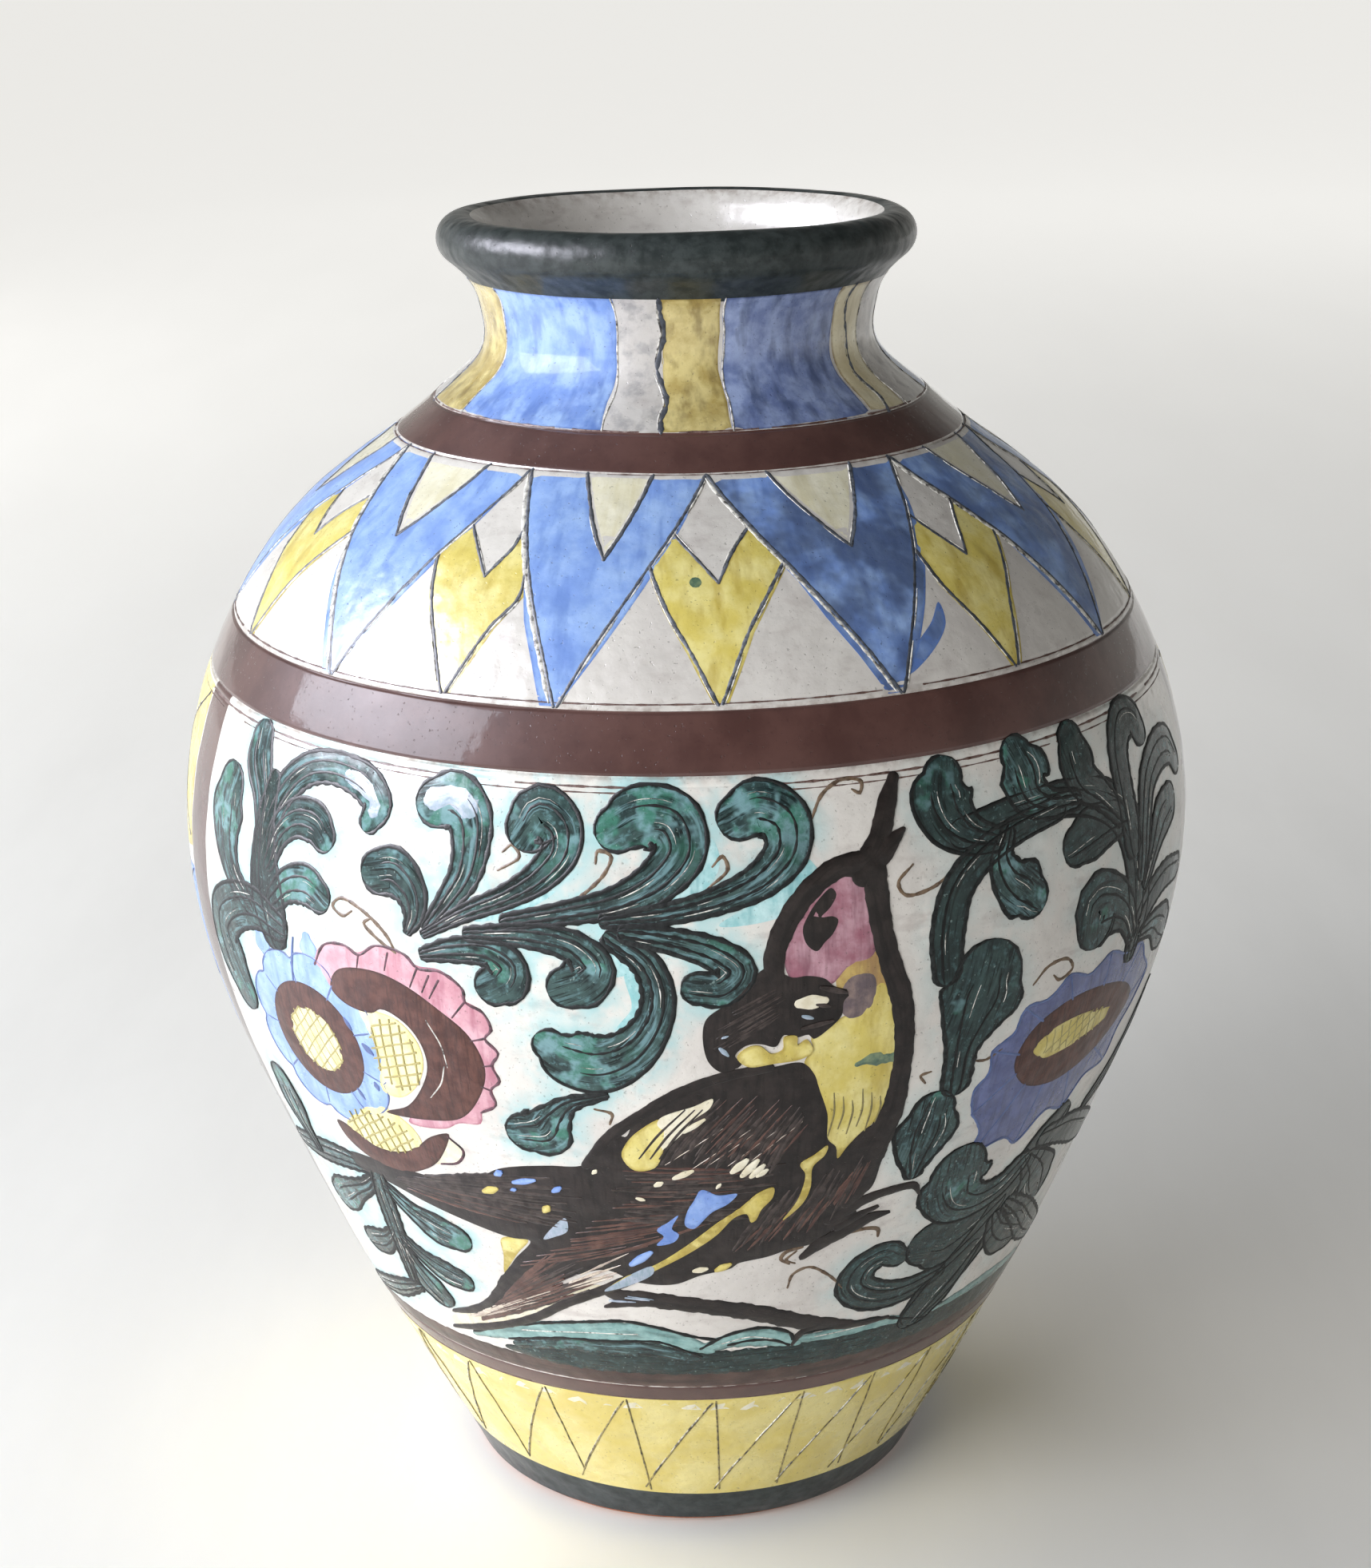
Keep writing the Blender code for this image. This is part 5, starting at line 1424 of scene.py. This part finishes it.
MATERIALS = {
    "white": white_ground("white_glaze_painted"),
    "neck_white": white_ground("white_glaze_neck", 0.35),
    "shoulder_white": white_ground("white_glaze_shoulder", 0.25, coat=0.2),
    "inner": white_ground("inner_glaze_grey", 0.30),
    "leaf": leaf_green("leaf_green_glaze"),
    "green": painted("dark_green_glaze", ("3c4242", "282e2e", "171c1c"), 3.0, roughness=0.36, coat=0.27,
        under=0.15, waves=0.7),
    "brown": painted("brown_slip_glazed", ("5c403b", "4d332f", "3a2523"), 12.0, roughness=0.46, coat=1.0,
        crisp=0.03, under=0.1, waves=0.12, peel=0.14),
    "yellow_zone": painted("yellow_glaze_zone", ("e3d68c", "d5c262", "c0a848"), 14.0),
    "yellow": painted("yellow_glaze", ("e5da94", "d3c266", "b39c44"), 7.0, (3.0, 10.0),
        edge=(0.7, "a8923f"), coat=0.35, under=0.3),
    "pale_yellow": painted("pale_yellow_glaze", ("f3ecbc", "eadf98", "dbc872"), 5.0, edge=(0.5, "d2bf70")),
    "ochre": painted("ochre_glaze", ("e0d8ba", "cfc3a0", "b1a580"), 7.0, edge=(0.8, "80683a")),
    "neck_yellow": painted("neck_yellow_glaze", ("cfc085", "ac985a", "705c30"), 5.5, (3.0, 6.0),
        edge=(0.6, "8d7838")),
    "neck_blue": painted("neck_blue_glaze", ("98b5e2", "7090d0", "4f6eb2"), 6.0, (3.0, 9.0),
        edge=(0.6, "5570ac"), roughness=0.5, coat=1.0, crisp=0.02, under=0.1, waves=0.06, peel=0.10),
    "blue": painted("blue_glaze", ("9ab7e6", "7c9bd8", "5f7fc2"), 7.0, (3.0, 12.0), edge=(0.6, "5c7cc0"),
        coat=0.12, under=0.15, dark="414d6c"),
    "deep": painted("deep_blue_glaze", ("93a3ca", "6878a6", "3a4768"), 5.0, (3.0, 9.0),
        edge=(0.6, "3a4a78")),
    "petal_blue": painted("petal_blue_glaze", ("9dbcee", "7c9fe0", "6486cf"), 5.0, edge=(0.6, "5d80c6")),
    "petal_dusk": painted("petal_dusk_glaze", ("636fa4", "465287", "2f3864"), 5.0, (1.2, 9.0),
        edge=(1.0, "3c4880")),
    "pink": painted("pink_glaze", ("d9abb6", "c28795", "a35a70"), 5.0, edge=(0.6, "9c5268")),
    "plum": painted("plum_glaze", ("c39aa6", "985a6c", "6e3a4c"), 7.0, edge=(0.5, "6e4050")),
    "ring": painted("brown_ring_slip", ("603c33", "482922", "301a16"), 3.0, (0.5, 5.0),
        edge=(0.6, "2c1512"), roughness=0.36, coat=0.35, under=0.2),
    "black": painted("black_slip", ("312a28", "221d1c", "151211"), 4.0, (1.0, 9.0), roughness=0.34,
        coat=0.35, under=0.15),
    "rust": painted("rust_brown_slip", ("66473d", "482d27", "301e1a"), 3.0, (0.6, 8.0), roughness=0.36,
        coat=0.4, under=0.25),
    "cream": painted("cream_glaze", ("ece6d2", "ded5ba", "c9bd98"), 3.0),
    "cream_wash": painted("cream_wash_glaze", ("e6e2cf", "ddd8bf", "cfc7a4"), 6.0),
    "wash": painted("turquoise_wash", ("bfe0e2", "8cc3c7", "5f9ca3"), 4.0),
    "ground": painted("grass_green_glaze", ("8fb8b6", "669391", "3d6362"), 4.0, (1.6, 9.0),
        edge=(1.0, "33504f")),
    "leaf_line": scratched("leaf_line", "0c0e0e", "2a2e2e", "141818"),
    "cut": scratched("cut_line", "2b2a2b", "5f6062"),
    "soft_cut": scratched("cut_line_soft", "474c55", "8b919e", "33363c"),
    "faint_cut": scratched("cut_line_faint", "9a8c58", "c4b67c"),
    # pale broken glaze beside the cuts, and partly a painted highlight along them
    "burr": scratched("broken_glaze_burr", "d5d2cb", "f2f0ea"),
    "edge_line": scratched("band_edge_line", "5f443c", "94807a", "4a342e"),
    "tendril": scratched("tendril_line", "6b5642", "8d7a66", "4a3b30"),
    "petal_line": scratched("petal_outline", "5e3c48", "7d5a66"),
    "blue_line": painted("blue_grey_line", ("5a70a6", "42568a", "303f6a"), 3.0, roughness=0.4, coat=0.3),
    "grey": white_ground("neck_grey_glaze", 0.55, stained=False),
    "hatch": painted("hatch_line", ("b3a768", "9c9053", "7f7442"), 3.0, roughness=0.4, coat=0.3),
    "soot": painted("soot_black_slip", ("4c423f", "2b2422", "131010"), 2.4, (0.5, 7.0), roughness=0.36,
        coat=0.35, under=0.15),
    "smear": painted("plum_grey_smear", ("8a7670", "5f5056", "463b42"), 3.0),
    "fleck": painted("green_fleck", ("7d8f6d", "4e6a58", "324c42"), 2.0),
    "olive": painted("olive_line", ("8b8046", "6a6138", "4c472c"), 2.0, roughness=0.36, coat=0.4),
    "rust_yellow": painted("rust_yellow_glaze", ("c8ac62", "ac8a4c", "8c6a4a"), 3.0),
    # pale dabs and feathers on the bird, and the painted glint on the brightest leaves
    "bloom": painted("pale_lilac_glaze_and_glint", ("adb6c8", "93a4b6", "728f99"), 2.2, (1.0, 5.0)),
    "tail_pale": painted("tail_pale_glaze", ("d6c9b8", "b09d90", "7f6c64"), 2.4),
    "mud": painted("brown_mud_slip", ("54403a", "42302c", "2e2623"), 7.0, (1.2, 14.0), roughness=0.34,
        coat=0.4, under=0.2),
    "clay": bare_clay("bare_clay_fired"),
}


HALO_REACH = 4.2  # mm, about as far as a leaf's pale halo goes


def halo_of(easel):
    """How near each point of a panel lies to a leaf: 1 beside it, 0 a few mm away."""
    edges = np.concatenate(easel.leaf_edges)
    points = SKIN.at(edges[:, 0], edges[:, 1])
    tree = kdtree.KDTree(len(points))
    for i, point in enumerate(points):
        tree.insert(point, i)
    tree.balance()

    def value(a, s):
        at = SKIN.at(a, s)
        away = np.array([tree.find(point)[2] for point in at.reshape(-1, 3)]).reshape(a.shape) / MM
        own_angle = (a - easel.turn) * (-1 if easel.mirror else 1)
        return np.clip(1.15 - away / HALO_REACH, 0, 1) * np.interp(own_angle, (0, 26), (1.0, 0.3))

    return value


def edge_stain(low, high, reach=2.2):
    """The brown that bled from the bands at the two edges of a zone."""
    return lambda a, s: np.clip(1 - np.minimum(s - low, high - s) / reach, 0, 1) ** 1.5


def none(a, s):
    """Nothing anywhere, for a coat that has no halo."""
    return 0 * s


def paint_side(side, node, easel):
    """One large panel: its white ground and everything painted on it."""
    ground(easel)
    plants(easel)
    flowers(easel)
    bird(easel)
    low, high = SEAMS[2], SEAMS[3]
    shell("panel_" + side, low, high, MATERIALS["white"], "white_glaze", node, span=SPANS[node], step=1.0,
        halo=halo_of(easel), stain=edge_stain(low, high))
    for colour, material, slot in PAINTS:
        easel.paint[colour].piece(f"{side}_{colour}", MATERIALS[material], slot)


def spans():
    """The panels and upright bands widened to meet at the middle of the gaps between them."""
    names = [n for n in NODES if n.startswith("panel_") or n.startswith("upright_")]
    found = {n: angle_span(n) for n in names}
    return {n: (a - HALF_GAP, b + HALF_GAP) for n, (a, b) in found.items()}


SPANS = spans()


def coats():
    """Every coat that isn't a large panel."""
    foot, yellow, band, top, shoulder, neck_band, neck, rim = SEAMS
    start = HEIGHTS["foot_colour"][0]
    shell("foot_dark_green", start, foot, MATERIALS["green"], "green_glaze", "foot_colour", step=0.8)
    shell("foot_zone_yellow", foot, yellow, MATERIALS["yellow_zone"], "yellow_glaze", "yellow_zone")
    shell("band_brown_lower", yellow, band, MATERIALS["brown"], "brown_slip", "lower_band", step=0.8)
    shell("band_brown_shoulder", top, shoulder, MATERIALS["brown"], "brown_slip", "shoulder_band", step=0.8)
    shell("shoulder_white", shoulder, neck_band, MATERIALS["shoulder_white"], "white_glaze",
        "shoulder_zone", halo=none, stain=edge_stain(shoulder, neck_band))
    shell("band_brown_neck", neck_band, neck, MATERIALS["brown"], "brown_slip", "neck_band", step=0.8)
    shell("neck_white", neck, rim, MATERIALS["neck_white"], "white_glaze", "neck_zone", step=1.0,
        halo=none, stain=edge_stain(neck, rim, 3.0))
    shell("rim_dark_green", rim, COLOUR_ENDS, MATERIALS["green"], "green_glaze", "rim_colour", step=0.7)
    shell("inside_glaze", COLOUR_ENDS, INSIDE_END, MATERIALS["inner"], "inner_glaze", "inner_glaze",
        back=-0.3, step=2.5, halo=none, stain=lambda a, s: np.clip(1 - (s - COLOUR_ENDS) / 4, 0, 1))
    for side in ("left", "right"):
        node = f"panel_{side}_strip"
        shell(f"strip_{side}_white", band, top, MATERIALS["white"], "white_glaze", node, span=SPANS[node],
            halo=none, stain=edge_stain(band, top))
        strip_pattern("strip_" + side, *SPANS[node])
    for node in NODES:
        if node.startswith("upright_band"):
            shell(node.replace("upright_band", "upright_brown"), band, top, MATERIALS["brown"],
                "brown_slip", node, span=SPANS[node])


def clay():
    """The fired clay: the courses of the wall under the coats, the foot ring and the floor."""
    look = MATERIALS["clay"], "bare_clay"
    for node in ("lower_wall", "belly_wall", "upper_wall", "shoulder_wall", "neck_wall"):
        low, high = skin_span(node, CLAY_DEPTH)
        shell(node + "_clay", low, high, *look, node, face=CLAY_FACE, back=CLAY_BACK, step=4.0, columns=144)
    neck = skin_span("neck_wall", CLAY_DEPTH)[1] + 0.4
    lip = [SKIN.at(0, s, CLAY_FACE) / MM for s in np.linspace(neck, TOP_OF_LIP + 9.0, 40)]
    turned("rim_roll_clay", [(-p[1], p[2]) for p in lip], *look, "rim_roll")
    ring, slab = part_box("foot_ring")[1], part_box("floor_slab")
    inner, top = FOOT_INSIDE, ring.z / MM
    outer = [(float(SKIN.radius(SKIN.height(z * MM))) + CLAY_FACE, z) for z in (2.2, 3.6, 5.0, top)]
    foot = [(inner + 0.2, top), (inner, top - 1.2), (inner, 1.2), (inner + 0.4, 0.4), (inner + 1.3, 0.0),
        (49.4, 0.0), (50.5, 0.3), (51.1, 0.9), (51.5, 1.6)]
    turned("foot_ring_clay", foot + outer, *look, "foot_ring", columns=288)
    low, high = slab[0].z / MM, slab[1].z / MM
    under = [(r, low + 0.10 * math.sin(r * 1.9) + 0.25 * math.exp(-((r / 4) ** 2)))
        for r in np.linspace(0.0, 51, 90)]
    turned("floor_slab_clay", under + [(53.0, low + 0.2), (54.4, high), (0.0, high)], *look, "floor_slab")


CAMERA_AT = (0.0, -0.564, 0.338)
CAMERA_TILT, CAMERA_ROLL = 71.99, -0.88
LENS = 61.5
FLOOR_REACH = 14.0
FLOOR_GLOW, FAR_GLOW, GLOW_REACH = 0.08, 0.64, 2.9


def camera():
    """The camera where the photograph was taken from: a little above the vase, looking down at it."""
    made = bpy.data.objects.new("camera", bpy.data.cameras.new("camera"))
    made.data.lens = LENS
    made.data.sensor_width = 36.0
    made.data.clip_start = 0.01
    made.location = CAMERA_AT
    tilt, roll = (Matrix.Rotation(math.radians(a), 3, axis) for a, axis in ((CAMERA_TILT, "X"),
        (CAMERA_ROLL, "Z")))
    made.rotation_euler = (tilt @ roll).to_euler()
    bpy.context.scene.collection.objects.link(made)
    bpy.context.scene.camera = made


def lamp(name, place, aim, size, power, tint=(1.0, 1.0, 1.0), diffuse=True, glossy=True):
    """A rectangular studio light, which may be left out of diffuse light or of reflections."""
    data = bpy.data.lights.new(name, "AREA")
    data.shape = "RECTANGLE"
    data.size, data.size_y = size
    data.energy = power
    data.color = tint
    made = bpy.data.objects.new(name, data)
    made.location = place
    made.rotation_euler = (Vector(aim) - Vector(place)).to_track_quat("-Z", "Y").to_euler()
    made.visible_diffuse = diffuse
    made.visible_glossy = glossy
    bpy.context.scene.collection.objects.link(made)


def studio():
    """A pale floor, a window-like light at the left, and soft light from that side."""
    world = bpy.data.worlds.new("studio")
    world.use_nodes = True
    nodes, links = world.node_tree.nodes, world.node_tree.links
    background = nodes["Background"]
    background.inputs["Color"].default_value = (1.0, 0.985, 0.92, 1.0)
    height = nodes.new("ShaderNodeSeparateXYZ")
    links.new(nodes.new("ShaderNodeTexCoord").outputs["Generated"], height.inputs[0])
    band = nodes.new("ShaderNodeMapRange")
    band.interpolation_type = "SMOOTHSTEP"
    links.new(height.outputs["Z"], band.inputs["Value"])
    for key, value in (("From Min", 0.05), ("From Max", 0.55), ("To Min", 0.46), ("To Max", 0.07)):
        band.inputs[key].default_value = value
    links.new(band.outputs[0], background.inputs["Strength"])
    bpy.context.scene.world = world
    window = dict(place=(-1.16, -0.23, 0.75), aim=(0, 0, 0.2))
    lamp("window", size=(1.2, 0.72), power=9.0, tint=(0.90, 1.0, 1.12), **window)
    lamp("window_glint", size=(1.0, 0.6), power=125.0, tint=(1.0, 0.97, 1.10), diffuse=False, **window)
    lamp("soft_left", (-1.25, -1.2, 0.78), (0, 0, 0.10), (1.2, 1.0), 29.0, glossy=False)
    lamp("soft_behind", (-1.2, 1.2, 1.2), (0, 0, 0.12), (1.2, 1.2), 16.0, glossy=False)
    floor_mesh = bpy.data.meshes.new("studio_floor")
    corners = [(x * FLOOR_REACH, y * FLOOR_REACH, 0) for x, y in ((-1, -1), (1, -1), (1, 1), (-1, 1))]
    floor_mesh.from_pydata(corners, [], [[0, 1, 2, 3]])
    floor = bpy.data.objects.new("studio_floor", floor_mesh)
    look = Look("studio_floor", 0.6, 0.0)
    grain = look.clouds(60.0, 4.0, 0.3, 0.7, (1, 0.25, 1))
    away = look.node("VectorMath", {"operation": "LENGTH"}, Vector=look.place).outputs["Value"]
    look.shader.inputs["Emission Color"].default_value = (1.0, 0.99, 0.96, 1.0)
    glow = look.maths("MULTIPLY_ADD", look.level(away, 0.0, GLOW_REACH), FAR_GLOW)
    look.put(look.shader.inputs["Emission Strength"], glow)
    glow.node.inputs[2].default_value = FLOOR_GLOW
    floor_mesh.materials.append(look.done(look.mix(grain, "ebe9e5", "e6e4e0")))
    bpy.context.scene.collection.objects.link(floor)
    bpy.context.scene.view_settings.view_transform = "Standard"


camera()
studio()
clay()
coats()
shoulder_pattern()
neck_pattern()
foot_zone_pattern()
band_edges()
paint_side("front", "panel_front", Easel())
paint_side("back", "panel_back", Easel(turn=192.0, mirror=True))
